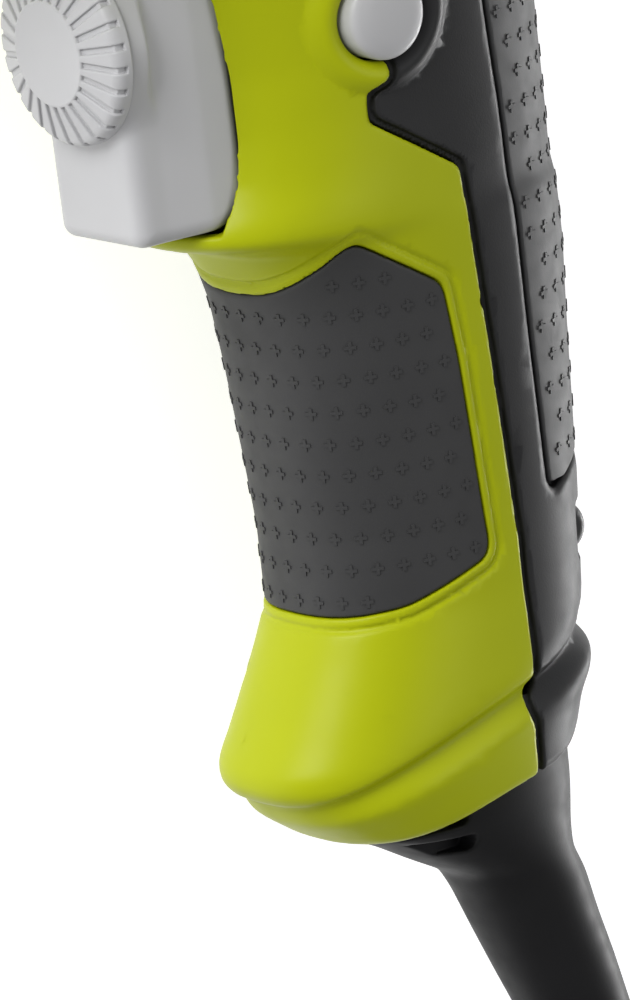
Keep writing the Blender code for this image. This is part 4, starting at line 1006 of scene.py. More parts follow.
    def cross_places(self, edge: Stencil, low: float, high: float) -> tuple[Array, Array]:
        """Finds where a pad's crosses stand, in rows around the grip with every other row shifted.

        Args:
            edge: the pad's outline.
            low: where the rows begin along the grip.
            high: where they end.

        Returns:
            Rows of places on the grip's plain form, and of its directions there.
        """
        form, across, along = self.form, self.cross_across, self.cross_along
        angles = np.linspace(-math.pi, math.pi, 1441)
        c, s, n = np.cos(angles), np.sin(angles), 2 / form.roundness
        middles: list[Point] = []
        for row, w in enumerate(np.arange(math.ceil(low / along) * along, high, along)):
            rear, front, half = (float(line(np.array([w]))[0]) for line in (form.rear, form.front,
                                                                            form.half))
            ring_e = (rear + front) / 2 + (front - rear) / 2 * np.sign(c) * np.abs(c) ** n
            ring_l = half * np.sign(s) * np.abs(s) ** n
            run = np.concatenate([[0], np.cumsum(np.hypot(np.diff(ring_e), np.diff(ring_l)))])
            run -= np.interp(0, angles, run)
            first = math.ceil(-np.abs(run).max() / across)
            at = (np.arange(first, -first + 1) + 0.5 * (row % 2)) * across
            at = at[(at > run[0]) & (at < run[-1])]
            middles += [(e, w, l) for e, l in zip(np.interp(at, run, ring_e), np.interp(at, run, ring_l))]
        points = np.array(middles, np.float32)
        points = points[edge(points[:, 0], points[:, 1]) < -self.cross_margin]
        return Casting("skin", form.grip, (0, 0, 0), (1, 1, 1), FINE).settle(points, 2.0)

    def stud(self, piece: bpy.types.Object, edge: Stencil, low: float, high: float) -> None:
        """Sets rows of small raised crosses on a pad.

        Args:
            piece: the pad, which takes the crosses into its mesh.
            edge: the pad's outline.
            low: where the rows begin along the grip.
            high: where they end.
        """
        arm, half_arm, sunk = 0.86, 0.25, 0.25
        corners = [(arm, half_arm), (half_arm, half_arm), (half_arm, arm), (-half_arm, arm),
                   (-half_arm, half_arm), (-arm, half_arm), (-arm, -half_arm), (-half_arm, -half_arm),
                   (-half_arm, -arm), (half_arm, -arm), (half_arm, -half_arm), (arm, -half_arm)]
        sides = len(corners)
        points, normals = self.cross_places(edge, low, high)
        along_axis = np.array([0.0, 1.0, 0.0])
        up = along_axis - normals * (normals @ along_axis)[:, None]
        up /= np.linalg.norm(up, axis=1)[:, None]
        side = np.cross(up, normals)
        bottom = [points + side * x * 1.12 + up * y * 1.12 for x, y in corners]
        top = [points + side * x + up * y for x, y in corners]
        flat = np.stack(bottom + top, 1).reshape(-1, 3)
        skin = Casting("skin", self.form.grip, (0, 0, 0), (1, 1, 1), FINE)
        flat, directions = skin.settle(flat.astype(np.float32), 0.5)
        lift = np.tile(np.repeat([-sunk, self.cross_rise], sides), len(points))[:, None]
        flat = flat + directions * lift
        faces = []
        for base in range(0, len(flat), 2 * sides):
            for j in range(sides):
                i = (j + 1) % sides
                faces.append((base + j, base + i, base + sides + i, base + sides + j))
            for quad in ((0, 1, 10, 11), (1, 2, 3, 4), (4, 5, 6, 7), (7, 8, 9, 10), (1, 4, 7, 10)):
                faces.append(tuple(base + sides + j for j in quad))
                faces.append(tuple(base + j for j in reversed(quad)))
        mesh = bpy.data.meshes.new("crosses")
        mesh.from_pydata(grip_points_to_world(flat).tolist(), [], faces)
        crosses = bpy.data.objects.new("crosses", mesh)
        bpy.context.scene.collection.objects.link(crosses)
        take(crosses)
        bpy.ops.object.mode_set(mode="EDIT")
        bpy.ops.mesh.select_all(action="SELECT")
        bpy.ops.mesh.normals_make_consistent(inside=False)
        bpy.ops.object.mode_set(mode="OBJECT")
        piece.select_set(True)
        bpy.context.view_layer.objects.active = piece
        bpy.ops.object.join()


# --- trigger and its controls -----------------------------------------------------------------------------
@dataclass
class Controls:
    """The trigger, its speed dial, the lock button and the reversing lever."""

    face: float = 47.4
    rear_line: float = 28.9
    low: float = 39.2
    high: float = 84.0
    dial_height: float = 67.6
    dial_radius: float = 13.7
    dial_face: float = 7.3
    dial_thick: float = 4.7
    ribs: int = 26
    sides: Sequence[tuple[float, float]] = (
        (25.0, 11.2), (31.0, 11.4), (36.0, 11.4), (39.0, 10.8), (42.5, 10.1), (48.0, 9.7),
    )

    def __post_init__(self) -> None:
        """Draws the trigger's half width along the grip's forward direction."""
        self.half = Curve(self.sides, 0.5)

    def trigger(self, e: Array, w: Array, left: Array) -> Array:
        """The distance to the trigger, with the round seat behind its dial.

        Args:
            e: places forward across the grip.
            w: places up along the grip.
            left: places to the left.

        Returns:
            The distances there, negative inside.
        """
        outline = brick(((e, self.rear_line, self.face), (w, self.low, self.high)), 2.2)
        corner = brick(((e, self.rear_line, self.face + 20), (w, self.low, self.high + 20)), 7.0)
        outline = trimmed(outline, corner, 0.5)
        body = trimmed(outline, np.abs(left) - self.half(e), 2.6)
        radius = np.sqrt((w - self.dial_height) ** 2 + left ** 2)
        seat = trimmed(radius - self.dial_radius + 0.9, slab(e, self.face - 3.6, self.face + 0.05), 1.0)
        stem = brick(((e, 26.0, self.rear_line + 4), (w, self.low + 2.0, self.high - 1),
                      (left, -10.0, 10.0)), 1.0)
        return np.minimum(merged(body, seat, 2.6), stem)

    def dial(self, e: Array, w: Array, left: Array) -> Array:
        """The distance to the dial, with grooves over its shoulder and side.

        Args:
            e: places forward across the grip.
            w: places up along the grip.
            left: places to the left.

        Returns:
            The distances there, negative inside.
        """
        y, x = w - self.dial_height, left
        radius, turn = np.sqrt(x * x + y * y), np.arctan2(y, x)
        rise = e - (self.face + 0.2)
        top = self.dial_thick - 0.2 - np.clip(radius - self.dial_face, 0, 10) * 0.30
        disc = trimmed(trimmed(radius - self.dial_radius, rise - top, 1.4), -rise, 0.3)
        across = (turn * self.ribs / (2 * math.pi)) % 1.0 - 0.5
        width = np.abs(across) * 2 * math.pi * np.maximum(radius, 4) / self.ribs - 0.42
        depth = np.maximum(radius - (self.dial_radius - 0.6), rise - (top - 0.5))
        groove = np.maximum(np.maximum(width, -depth), np.maximum(self.dial_face + 0.3 - radius, 1.0 - rise))
        return trimmed(disc, -groove, 0.28)

    def lever(self, e: Array, w: Array, left: Array) -> Array:
        """The distance to the reversing lever: a hub, an arm and a rounded paddle.

        Args:
            e: places forward across the grip.
            w: places up along the grip.
            left: places to the left.

        Returns:
            The distances there, negative inside.
        """
        hub = np.sqrt((e - 8.0) ** 2 + left ** 2) - 5.0
        arm = np.maximum(np.abs(left) - 2.2 - 0.03 * np.maximum(e - 20, 0), slab(e, 8.0, 44.0))
        paddle = np.sqrt((e - 43.4) ** 2 + left ** 2) - 3.6
        outline = merged(np.minimum(hub, paddle), arm, 2.0)
        return trimmed(outline, slab(w, 86.9, 90.3), 0.7)

    def build(self) -> None:
        """Makes the four pieces."""
        trigger = Casting("trigger", self.trigger, (25, 38, -16), (50, 86, 16), FINE * 0.75).pour()
        stand_for(trigger, "trigger_body", PALE, "trigger")
        dial = Casting("speed_dial", self.dial, (46, 52, -15.5), (54, 83, 15.5), FINE * 0.5).pour()
        stand_for(dial, "dial", PALE, "speed_dial")
        lever = Casting("reversing_lever", self.lever, (1, 85, -7), (49, 92, 7), FINE * 0.75).pour()
        stand_for(lever, "lever", PALE, "reversing_lever")
        radius = BUTTON_RADIUS
        profile = ((0, 25.2, 0), (4.4, 24.95, 3.0), (radius, 24.2, 1.2), (radius, 18.6, 0.3),
                   (2.6, 18.6, 0.2), (2.6, 11.8, 0.3), (0, 11.8, 0))
        button = turned("lock_on_button", rounded_profile(profile), 96)
        done(button, Axis.LEFT.standing(grip_to_world(*BUTTON_AT, 0.0)))
        stand_for(button, "button", PALE, "lock_on_button")


@dataclass
class ChuckKey:
    """The chuck key, held across the back of the grip."""

    bar_back: float = -20.3
    bar_radius: float = 3.9
    bar_half: float = 10.5

    def build(self) -> None:
        """Turns the bar and the shank and joins them."""
        r, half = self.bar_radius, self.bar_half
        bar = turned("chuck_key", rounded_profile(
            ((0, half, 0), (r * 0.7, half, 1.6), (r, half - 1.6, 1.6), (r, 1.6 - half, 1.6),
             (r * 0.7, -half, 1.6), (0, -half, 0)), 6), 48)
        done(bar, Axis.LEFT.standing(grip_to_world(self.bar_back, KEY_HEIGHT, 0.0)))
        shank = turned("shank", rounded_profile(
            ((0, 13.0, 0), (2.6, 13.0, 0.4), (2.6, 8.0, 0.2), (4.0, 7.6, 0.2), (5.5, 3.0, 0.3),
             (5.5, 0.0, 0.2), (4.0, -1.0, 0.3), (4.0, self.bar_back + 1, 0),
             (0, self.bar_back + 1, 0)), 3), 44)
        teeth = pick(shank, lambda middle, normal: 0.0005 < middle.z < 0.0072 and normal.z < 0.75
                     and math.hypot(middle.x, middle.y) > 0.0038 and column(middle, 44) % 4 < 2)
        LOG.info("chuck key: %d tooth faces", teeth)
        bpy.ops.mesh.extrude_region_shrink_fatten(TRANSFORM_OT_shrink_fatten={"value": -0.0009})
        done(shank, Axis.GRIP_FORWARD.standing(grip_to_world(0.0, KEY_HEIGHT, 0.0)))
        take(bar)
        shank.select_set(True)
        bpy.ops.object.join()
        stand_for(bar, "key", OXIDE, "chuck_key")


@dataclass
class Screws:
    """The housing's and the gear case's cross-head screws."""

    head: float = 3.4
    shank: float = 1.6
    thick: float = 2.2
    steps: int = 32
    case_seat: float = 81.0
    case_places: Sequence[tuple[float, float]] = ((21.5, 16.5), (-21.5, 16.5), (21.5, -19.5), (-21.5, -19.5))

    def screw(self, name: str, long: float, seat: float, stand: Matrix) -> None:
        """Turns one screw and presses its cross recess.

        Args:
            name: the node that it stands for.
            long: the shank's length.
            seat: the height of the head's underside along the screw's direction.
            stand: the matrix that stands the screw in place.
        """
        top, under = seat + 0.15 + self.thick, seat + 0.15
        profile = [(0, top), (0.55, top), (1.7, top), *rounded_profile(
            ((1.7, top, 0), (2.5, top - 0.05, 0.8), (self.head, top - 1.1, 0.8), (self.head, under, 0.1),
             (self.shank, under, 0.1), (self.shank, seat - long + 0.8, 0.1), (0.6, seat - long, 0.1),
             (0, seat - long, 0)), 3)[1:]]
        piece = turned(name, profile, self.steps)
        pick(piece, lambda middle, normal: (
            middle.z > (top - 0.02) * MM and math.hypot(middle.x, middle.y) < 0.0017
            and ((column(middle, self.steps) + 1) % 8 < 2 or math.hypot(middle.x, middle.y) < 0.0005)))
        bpy.ops.mesh.extrude_region_move(TRANSFORM_OT_translate={"value": (0, 0, -0.001)})
        done(piece, stand)
        stand_for(piece, "drill", STEEL, name)

    def build(self) -> None:
        """Makes all nine screws."""
        for k, (forward, up, seat) in enumerate(Casing.screws):
            self.screw(f"housing_screw_{k + 1}", 24.0, -seat,
                       Axis.RIGHT.standing(tool_to_world(forward, up, 0.0)))
        for k, (side, rise) in enumerate(self.case_places):
            self.screw(f"gear_case_screw_{k + 1}", 10.0, self.case_seat,
                       Axis.FORWARD.standing(tool_to_world(0.0, BARREL_UP + rise, side)))


# --- gear case and chuck ----------------------------------------------------------------------------------
@dataclass
class GearCase:
    """The cast gear case, with a rim, ribs and four screw bosses."""

    rear: float = 76.3
    front: float = 118.5
    sections: Sequence[tuple[float, float]] = (
        (-5.0, 32.6), (0.0, 32.6), (12.0, 31.8), (23.0, 28.0), (33.0, 22.2), (38.0, 20.0), (46.0, 18.4),
    )
    wall: float = 3.0
    ribs: int = 10

    def __post_init__(self) -> None:
        """Draws the case's radius."""
        self.reach = Curve(self.sections, 1.5)

    def shape(self, e: Array, w: Array, left: Array) -> Array:
        """The distance to the case.

        Args:
            e: places forward across the grip.
            w: places up along the grip.
            left: places to the left.

        Returns:
            The distances there, negative inside.
        """
        forward, up = grip_to_tool(e, w)
        step = forward - self.rear
        share = np.clip(step / 42.0, 0, 1)
        rise = up - BARREL_UP - (SPINDLE_UP - BARREL_UP) * share
        radius, n = self.reach(step), 2.35 - 0.35 * share
        x, y = np.abs(left) / radius, np.abs(rise) / radius
        plain = (np.maximum(x ** n + y ** n, 1e-6) ** (1 / n) - 1) * radius
        turn = np.arctan2(rise, left)
        rib = np.maximum(np.cos(self.ribs * turn), 0) ** 8 * bump(step, 22.0, 10.0) * 0.9
        rim = np.clip(1 - np.abs(step - 1.5) / 3.0, 0, 1) ** 0.5 * 0.7
        d = trimmed(plain - np.maximum(rib, rim), slab(forward, self.rear, self.front), 1.2)
        for side, height in Screws.case_places:
            across = np.sqrt((left - side) ** 2 + (up - BARREL_UP - height) ** 2)
            boss = trimmed(across - 5.8, slab(forward, self.rear, 88.0), 1.4)
            d = merged(d, boss, 3.0)
            d = trimmed(d, -np.maximum(across - 4.2, 81.0 - forward), 0.4)
            d = np.maximum(d, -(across - 1.75))
        room = np.maximum(plain + self.wall, forward - 114.0)
        axis = np.sqrt((up - SPINDLE_UP) ** 2 + left ** 2)
        d = np.maximum(d, -room)
        return trimmed(d, 7.0 - axis, 0.5)

    def build(self) -> None:
        """Casts the case."""
        piece = Casting("gear_case", self.shape, (48, 94, -38), (107, 174, 38), COARSE, FLAT).pour()
        stand_for(piece, "drill", ALLOY, "gear_case")


def column(middle: Vector, steps: int) -> int:
    """Which of a turned piece's columns a point lies in."""
    return int((math.atan2(middle.y, middle.x) / (2 * math.pi) % 1.0) * steps)


@dataclass
class Chuck:
    """The keyed chuck: a bored body, a toothed sleeve and three slanted jaws."""

    start: float = 121.0
    end: float = 172.0
    outer: Sequence[tuple[float, float]] = (
        (110.0, 15.4), (121.0, 15.4), (122.6, 17.0), (137.4, 17.0), (137.6, 13.0), (158.6, 13.0),
        (172.0, 8.2), (180.0, 8.2),
    )
    bore: float = 5.2
    jaw_radius: float = 2.9
    jaw_long: float = 24.0
    jaw_tip: float = 174.5
    jaw_offset: float = 2.1
    tilt: float = math.radians(18.0)
    columns: int = 72

    def body(self, e: Array, w: Array, left: Array) -> Array:
        """The distance to the bored body, with its key holes.

        Args:
            e: places forward across the grip.
            w: places up along the grip.
            left: places to the left.

        Returns:
            The distances there, negative inside.
        """
        forward, up = grip_to_tool(e, w)
        across, out = left, up - SPINDLE_UP
        radius = np.sqrt(across ** 2 + out ** 2)
        xs, ys = [point[0] for point in self.outer], [point[1] for point in self.outer]
        limit = np.interp(forward, xs, ys).astype(np.float32)
        limit = limit - 0.45 * bump(forward, 126.5, 0.5) - 0.45 * bump(forward, 134.0, 0.5)
        d = trimmed(radius - limit, slab(forward, self.start, self.end), 0.8)
        d = trimmed(d, self.bore - radius, 0.5)
        for k in range(3):
            turn = 2 * math.pi * k / 3 - math.pi / 2
            x = across * math.cos(turn) + out * math.sin(turn)
            y = out * math.cos(turn) - across * math.sin(turn)
            off, past = x - self.jaw_offset, forward - self.jaw_tip
            along = past * math.cos(self.tilt) - off * math.sin(self.tilt)
            aside = off * math.cos(self.tilt) + past * math.sin(self.tilt)
            way = np.maximum(np.sqrt(aside ** 2 + y ** 2) - self.jaw_radius - 0.3, -along - 40.5)
            d = np.maximum(d, -way)
            x = across * math.cos(turn + math.pi / 3) + out * math.sin(turn + math.pi / 3)
            y = out * math.cos(turn + math.pi / 3) - across * math.sin(turn + math.pi / 3)
            hole = np.maximum(np.sqrt((forward - 163.4) ** 2 + y ** 2) - 2.9, 6.6 - x)
            d = trimmed(d, -hole, 0.35)
        return d

    def sleeve(self) -> bpy.types.Object:
        """Turns the sleeve, then cuts its flutes and raises its bevel teeth.

        Returns:
            The piece.
        """
        profile = [(17.2, 137.8), (18.7, 137.8), (19.5, 138.6), (19.5, 141.0), (19.5, 153.6), (19.5, 155.0),
                   (18.7, 155.6), (16.6, 158.9), (16.0, 159.5), (13.3, 159.5), (13.3, 158.3), (17.2, 158.3),
                   (17.2, 137.8)]
        piece = turned("chuck_sleeve", profile, self.columns)
        flutes = pick(piece, lambda middle, normal: (
            0.1412 < middle.z < 0.1534 and column(middle, self.columns) % 2 == 0
            and math.hypot(middle.x, middle.y) > 0.0185))
        bpy.ops.mesh.inset(thickness=0.00022, use_individual=True)
        bpy.ops.mesh.extrude_faces_move(TRANSFORM_OT_shrink_fatten={"value": -0.0005})
        bpy.ops.object.mode_set(mode="OBJECT")
        teeth = pick(piece, lambda middle, normal: (
            0.1560 < middle.z < 0.1588 and column(middle, self.columns) % 2 == 0
            and math.hypot(middle.x, middle.y) > 0.0166))
        bpy.ops.mesh.extrude_faces_move(TRANSFORM_OT_shrink_fatten={"value": 0.0011})
        LOG.info("chuck sleeve: %d flutes, %d teeth", flutes, teeth)
        return done(piece, Axis.FORWARD.standing(tool_to_world(0.0, SPINDLE_UP, 0.0)))

    def jaw(self, k: int) -> bpy.types.Object:
        """Cuts one jaw from a rod on its slanted axis.

        Args:
            k: the jaw's number, from 0.

        Returns:
            The piece.
        """
        deselect()
        bpy.ops.mesh.primitive_cylinder_add(vertices=48, radius=self.jaw_radius * MM,
                                            depth=self.jaw_long * MM)
        piece = bpy.context.object
        piece.name = f"chuck_jaw_{k + 1}"
        piece.data.transform(Matrix.Translation(Vector((self.jaw_offset, 0, self.jaw_tip)) * MM)
                             @ Matrix.Rotation(-self.tilt, 4, "Y")
                             @ Matrix.Translation((0, 0, -self.jaw_long / 2 * MM)))
        for place, normal in (
            ((0.25, 0, 0), (1, 0, 0)), ((0.1, 0, 0), (math.cos(math.pi / 6), 0.5, 0)),
            ((0.1, 0, 0), (math.cos(math.pi / 6), -0.5, 0)), ((0, 0, self.jaw_tip - 0.3), (0, 0, -1)),
        ):
            pick(piece, lambda middle, normal: True)
            bpy.ops.mesh.bisect(plane_co=Vector(place) * MM, plane_no=normal, use_fill=True,
                                clear_inner=True)
        bpy.ops.mesh.select_all(action="DESELECT")
        bpy.ops.mesh.edges_select_sharp(sharpness=math.radians(32))
        bpy.ops.mesh.bevel(offset=0.00012, segments=2)
        stand = Axis.FORWARD.standing(tool_to_world(0.0, SPINDLE_UP, 0.0))
        return done(piece, stand @ Matrix.Rotation(2 * math.pi * k / 3 - math.pi / 2, 4, "Z"))

    def build(self) -> None:
        """Makes the body, the sleeve and the jaws."""
        body = Casting("chuck_body", self.body, (90, 118, -22), (172, 172, 22), FINE).pour()
        stand_for(body, "spindle_body", CHUCK, "chuck_body")
        stand_for(self.sleeve(), "sleeve", CHUCK, "chuck_sleeve")
        for k in range(3):
            stand_for(self.jaw(k), f"jaw_{k + 1}", STEEL, f"chuck_jaw_{k + 1}")


# --- cord -------------------------------------------------------------------------------------------------
@dataclass
class Cord:
    """The guard and the mains cord, coiled behind the drill, with its plug."""

    diameter: float = 7.0
    lies: float = -32.5
    layer: float = 7.05
    centre: tuple[float, float] = (-25.1, -205.0)
    radii: tuple[float, float] = (42.5, 35.5)
    exit: Point = (-43.0, -111.6, 0.0)
    guard_sections: Sequence[tuple[float, float, float, float]] = (
        (-118.0, -25.3, 5.8, 5.5), (-96.0, -19.5, 7.8, 7.8), (-85.0, -15.8, 8.75, 8.75),
        (-77.8, -13.3, 9.2, 9.2), (-70.8, -11.1, 9.7, 9.8), (-66.8, -9.2, 9.9, 10.0),
        (-62.9, -6.1, 13.4, 10.6), (-58.7, -3.2, 17.0, 11.5), (-56.0, -0.6, 20.0, 12.0),
        (-52.0, 1.2, 22.0, 12.3), (-40.0, 1.2, 22.0, 12.3),
    )
    guard_lean: float = math.radians(27.3)
    plug_at: Point = (54.3, -147.0, -28.0)
    blade_aside: float = 6.35
    plug_sections: Sequence[tuple[float, float, float]] = (
        (-4.0, 5.0, 5.0), (0.0, 5.0, 5.0), (19.0, 6.4, 6.0), (24.0, 10.8, 7.4), (30.0, 12.0, 8.0),
        (54.0, 12.0, 8.0),
    )

    def __post_init__(self) -> None:
        """Draws the guard's and the plug's lines."""
        self.guard_middle, self.guard_reach, self.guard_half = (
            Curve([(section[0], section[k]) for section in self.guard_sections], 0.9) for k in (1, 2, 3))
        self.plug_half, self.plug_thick = (
            Curve([(section[0], section[k]) for section in self.plug_sections], 0.8) for k in (1, 2))

    def route(self) -> list[Vector]:
        """The points that the cord follows, in the tool's frame in millimetres.

        Returns:
            The points.
        """
        lead = [(-43.34, -111.96, 0.0), (-47.9, -120.8, -0.6), (-53.0, -131.0, -4.0), (-58.3, -142.8, -11.0),
                (-62.8, -154.5, -20.0), (-65.9, -165.0, -27.5), (-67.4, -173.0, -31.6),
                (-67.6, -179.0, self.lies), (-67.6, -187.0, self.lies), (-67.6, -196.0, self.lies)]
        outer, inner = self.radii
        slots = [(180, outer, 0), (475, outer, 0), (505, inner, 0), (805, inner, 0), (835, inner, 1),
                 (1135, inner, 1), (1165, outer, 1), (1465, outer, 1), (1495, outer, 2), (1795, outer, 2),
                 (1825, inner, 2), (2125, inner, 2), (2155, inner, 3), (2455, inner, 3), (2485, outer, 3),
                 (2520, outer, 3)]
        coil = []
        for turn in range(180, 2521, 10):
            k = max(j for j in range(len(slots) - 1) if slots[j][0] <= turn)
            (a0, r0, z0), (a1, r1, z1) = slots[k], slots[k + 1]
            t = (turn - a0) / (a1 - a0)
            t = t * t * (3 - 2 * t)
            radius, rise = r0 + (r1 - r0) * t, (z0 + (z1 - z0) * t) * self.layer
            angle = math.radians(turn)
            coil.append((self.centre[0] + radius * math.cos(angle),
                         self.centre[1] + radius * math.sin(angle),
                         self.lies + rise))
        top = self.lies + 3 * self.layer
        tail = [(17.4, -196.0, top), (17.4, -187.0, top), (17.4, -179.6, top), (18.0, -169.5, top - 1.2),
                (22.2, -159.0, -16.5), (31.5, -151.0, -21.8), (43.0, -147.4, -27.4), (53.5, -147.0, -28.0)]
        return [Vector(point) for point in lead + coil + tail]

    def smooth_route(self, step: float = 3.0) -> list[Vector]:
        """The route resampled evenly through its points.

        Args:
            step: the distance between the points, in millimetres.

        Returns:
            The points.
        """
        points = self.route()
        fine: list[Vector] = []
        for k in range(len(points) - 1):
            p0, p1 = points[max(k - 1, 0)], points[k]
            p2, p3 = points[k + 1], points[min(k + 2, len(points) - 1)]
            for j in range(8):
                t = j / 8
                fine.append(0.5 * (2 * p1 + (p2 - p0) * t + (2 * p0 - 5 * p1 + 4 * p2 - p3) * t * t
                                   + (3 * p1 - p0 - 3 * p2 + p3) * t ** 3))
        fine.append(points[-1])
        run = np.concatenate([[0], np.cumsum([(b - a).length for a, b in zip(fine, fine[1:])])])
        self.length = float(run[-1])
        at = np.linspace(0, self.length, int(self.length / step) + 1)
        columns = np.array(fine).T
        return [Vector(point) for point in np.stack([np.interp(at, run, column) for column in columns], 1)]

    def guard(self, e: Array, w: Array, left: Array) -> Array:
        """The distance to the tapered guard, with two slots in its flange on each side.

        Args:
            e: places forward across the grip.
            w: places up along the grip.
            left: places to the left.

        Returns:
            The distances there, negative inside.
        """
        middle, reach, half = self.guard_middle(w), self.guard_reach(w), self.guard_half(w)
        forward, up = grip_to_tool(e, w)
        lean = self.guard_lean
        along = (self.exit[0] - forward) * math.sin(lean) + (self.exit[1] - up) * math.cos(lean)
        d = trimmed(oval(e - middle, left, reach, half, 2.15) * 0.95, along, 1.2)
        d = trimmed(d, CASING.above_sole(e, w) + 0.3, 0.4)
        side = np.abs(left)
        for (e0, w0), (e1, w1), deep in (((6.4, -54.6), (26.0, -55.9), 7.4),
                                         ((4.6, -59.3), (21.0, -58.6), 6.4)):
            t = np.clip(((e - e0) * (e1 - e0) + (w - w0) * (w1 - w0)) / ((e1 - e0) ** 2 + (w1 - w0) ** 2), 0,
                        1)
            slot = np.sqrt((e - e0 - t * (e1 - e0)) ** 2 + (w - w0 - t * (w1 - w0)) ** 2) - 1.35 + 0.5 * t
            d = trimmed(d, -np.maximum(slot, deep - side), 0.5)
        neck = trimmed(np.sqrt((e + 0.3) ** 2 + left ** 2) - 8.2, slab(w, -56.0, -46.0), 0.5)
        return np.minimum(d, neck)

    def plug(self, e: Array, w: Array, left: Array) -> Array:
        """The distance to the plug's body, with rings on its relief and ridges on its sides.

        Args:
            e: places forward across the grip.
            w: places up along the grip.
            left: places to the left.

        Returns:
            The distances there, negative inside.
        """
        forward, up = grip_to_tool(e, w)
        step, rise, aside = forward - self.plug_at[0], up - self.plug_at[1], left - self.plug_at[2]
        plain = oval(rise, aside, self.plug_half(step), self.plug_thick(step), 2.8)
        ring = 0.9 * np.maximum(np.cos(2 * math.pi * step / 4.0), 0) ** 2 * (step > 1) * (step < 17)
        ridge = 0.5 * np.maximum(np.cos(2 * math.pi * step / 3.2),
                                 0) ** 3 * bump(step, 37, 6) * bump(rise, 0, 6.5)
        d = trimmed(plain + ring + ridge, slab(step, 0.0, 50.0), 1.6)
        for at in (self.blade_aside, -self.blade_aside):
            way = brick(((step, 43.5, 60.0), (rise, at - 1.05, at + 1.05), (aside, -3.5, 3.5)), 0.1)
            d = np.maximum(d, -way)
        return d

    def blade(self, side: int, e: Array, w: Array, left: Array) -> Array:
        """The distance to one blade, with a round hole near its chamfered tip.

        Args:
            side: 1 for one blade, -1 for the other.
            e: places forward across the grip.
            w: places up along the grip.
            left: places to the left.

        Returns:
            The distances there, negative inside.
        """
        forward, up = grip_to_tool(e, w)
        step, rise = forward - self.plug_at[0], up - self.plug_at[1] - side * self.blade_aside
        aside = left - self.plug_at[2]
        d = brick(((step, 44.0, 67.5), (rise, -0.75, 0.75), (aside, -3.2, 3.2)), 0.18)
        d = trimmed(d, np.abs(aside) + step - 69.6, 0.3)
        return trimmed(d, 1.6 - np.sqrt((step - 61.5) ** 2 + aside ** 2), 0.12)

    def build(self) -> None:
        """Makes the cord as a tube on its route."""
        path = [tool_to_world(*point) for point in self.smooth_route()]
        name = "mains_cord"
        curve = bpy.data.curves.new(name, "CURVE")
        curve.dimensions = "3D"
        curve.bevel_depth = self.diameter / 2 * MM
        curve.bevel_resolution = 5
        curve.use_fill_caps = True
        spline = curve.splines.new("POLY")
        spline.points.add(len(path) - 1)
        for point, place in zip(spline.points, path):
            point.co = (*place, 1)
        cord = bpy.data.objects.new(name, curve)
        bpy.context.scene.collection.objects.link(cord)
        take(cord)
        bpy.ops.object.convert(target="MESH")
        cord = bpy.context.object
        done(cord, None, 60)
        stand_for(cord, "drill", RUBBER, "cord_lead", "cord_coil", "cord_tail")
        self.ends()

    def ends(self) -> list[bpy.types.Object]:
        """Casts the guard, the plug and its blades.

        Returns:
            The pieces at the cord's two ends.
        """
        guard = Casting("cord_guard", self.guard, (-36, -120, -14), (26, -44, 14), FINE).pour()
        stand_for(guard, "drill", RUBBER, "cord_guard")
        plug = Casting("plug_body", self.plug, (64, -140, -38), (132, -118, -18), FINE).pour()
        stand_for(plug, "drill", RUBBER, "plug_body")
        blades = []
        for k, side in enumerate((1, -1)):
            name = f"plug_blade_{k + 1}"
            blade = Casting(name, partial(self.blade, side), (100, -140, -32), (150, -116, -24), FINE * 0.6)
            blades.append(stand_for(blade.pour(), "drill", BRASS, name))
        return [guard, plug, *blades]


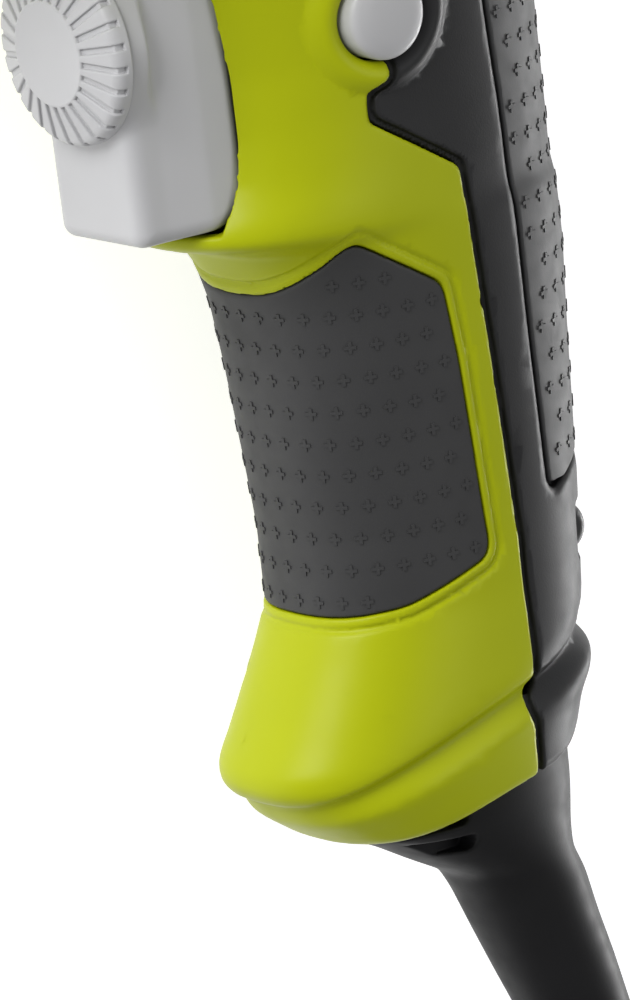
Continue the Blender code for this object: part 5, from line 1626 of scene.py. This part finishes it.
# --- stage ------------------------------------------------------------------------------------------------
@dataclass
class Studio:
    """The pale floor, the soft lights and the camera."""

    turn: float = math.radians(38.0)
    pitch: float = math.radians(10.0)
    distance: float = 1.2
    view_height: float = 0.14286
    offset: tuple[float, float] = (-0.01171, -0.0100)
    lamps: Sequence[tuple[str, Point, float, float]] = (
        ("key", (-0.5, 0.45, 0.75), 0.55, 9.5),
        ("fill", (0.75, 0.1, 0.45), 0.5, 1.5),
        ("rim", (0.40, 0.0, -0.48), 0.40, 9.0),
    )
    film: float = 36.0

    def build(self) -> None:
        """Sets the camera, floor and lights."""
        right = Vector((math.cos(self.turn), 0, math.sin(self.turn)))
        up = Vector((math.sin(self.pitch) * math.sin(self.turn), math.cos(self.pitch),
                     -math.sin(self.pitch) * math.cos(self.turn)))
        back = Vector((-math.cos(self.pitch) * math.sin(self.turn), math.sin(self.pitch),
                       math.cos(self.pitch) * math.cos(self.turn)))
        aim = ORIGIN + right * self.offset[0] + up * self.offset[1]
        data = bpy.data.cameras.new("camera")
        data.sensor_fit = "VERTICAL"
        data.sensor_height = self.film
        data.lens = self.film * self.distance / self.view_height
        camera = bpy.data.objects.new("camera", data)
        bpy.context.scene.collection.objects.link(camera)
        matrix = Matrix((right, up, back)).transposed().to_4x4()
        matrix.translation = aim + back * self.distance
        camera.matrix_world = matrix
        bpy.context.scene.camera = camera
        self.floor()
        for name, (x, y, z), size, power in self.lamps:
            self.lamp(name, aim + right * x + up * y + back * z, aim, size, power)
        world = bpy.data.worlds.new("studio")
        world.use_nodes = True
        world.node_tree.nodes["Background"].inputs["Color"].default_value = (1, 1, 1, 1)
        world.node_tree.nodes["Background"].inputs["Strength"].default_value = 0.40
        bpy.context.scene.world = world
        bpy.context.scene.view_settings.view_transform = "Standard"

    def floor(self) -> None:
        """A wide pale floor under the drill."""
        deselect()
        ground = CAD_BOX[0][2]
        bpy.ops.mesh.primitive_plane_add(size=6, location=(0, 0, ground - 0.0002))
        floor = bpy.context.object
        floor.name = "floor"
        material = bpy.data.materials.new("pale_floor")
        material.use_nodes = True
        shader = material.node_tree.nodes["Principled BSDF"]
        shader.inputs["Base Color"].default_value = (0.85, 0.85, 0.85, 1)
        shader.inputs["Roughness"].default_value = 0.9
        shader.inputs["Emission Color"].default_value = (1, 1, 1, 1)
        shader.inputs["Emission Strength"].default_value = 0.66
        floor.data.materials.append(material)

    def lamp(self, name: str, place: Vector, aim: Vector, size: float, power: float) -> None:
        """A square soft light that faces a point.

        Args:
            name: the lamp's name.
            place: where it hangs.
            aim: what it faces.
            size: its side in metres.
            power: its power in watts.
        """
        data = bpy.data.lights.new(name, "AREA")
        data.size = size
        data.energy = power
        lamp = bpy.data.objects.new(name, data)
        turn = (place - aim).to_track_quat("Z", "Y")
        lamp.matrix_world = Matrix.Translation(place) @ turn.to_matrix().to_4x4()
        bpy.context.scene.collection.objects.link(lamp)


def dress_nodes() -> None:
    """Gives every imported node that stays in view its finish."""
    slots = {part["node"]: part["material_slot"] for part in frame["record"]["subparts"]}
    for name, node in frame["nodes"].items():
        finish = FINISHES[slots[name]]
        if not node.material_slots:
            node.data.materials.append(finish.make())
        for slot in node.material_slots:
            slot.material = finish.make()


def main() -> None:
    """Builds the studio, then the drill from its cord to its chuck."""
    Studio().build()
    dress_nodes()
    Cord().build()
    Casing().build()
    for part in (Controls(), ChuckKey(), Screws(), GearCase(), Chuck()):
        part.build()


if __name__ == "__main__":
    main()
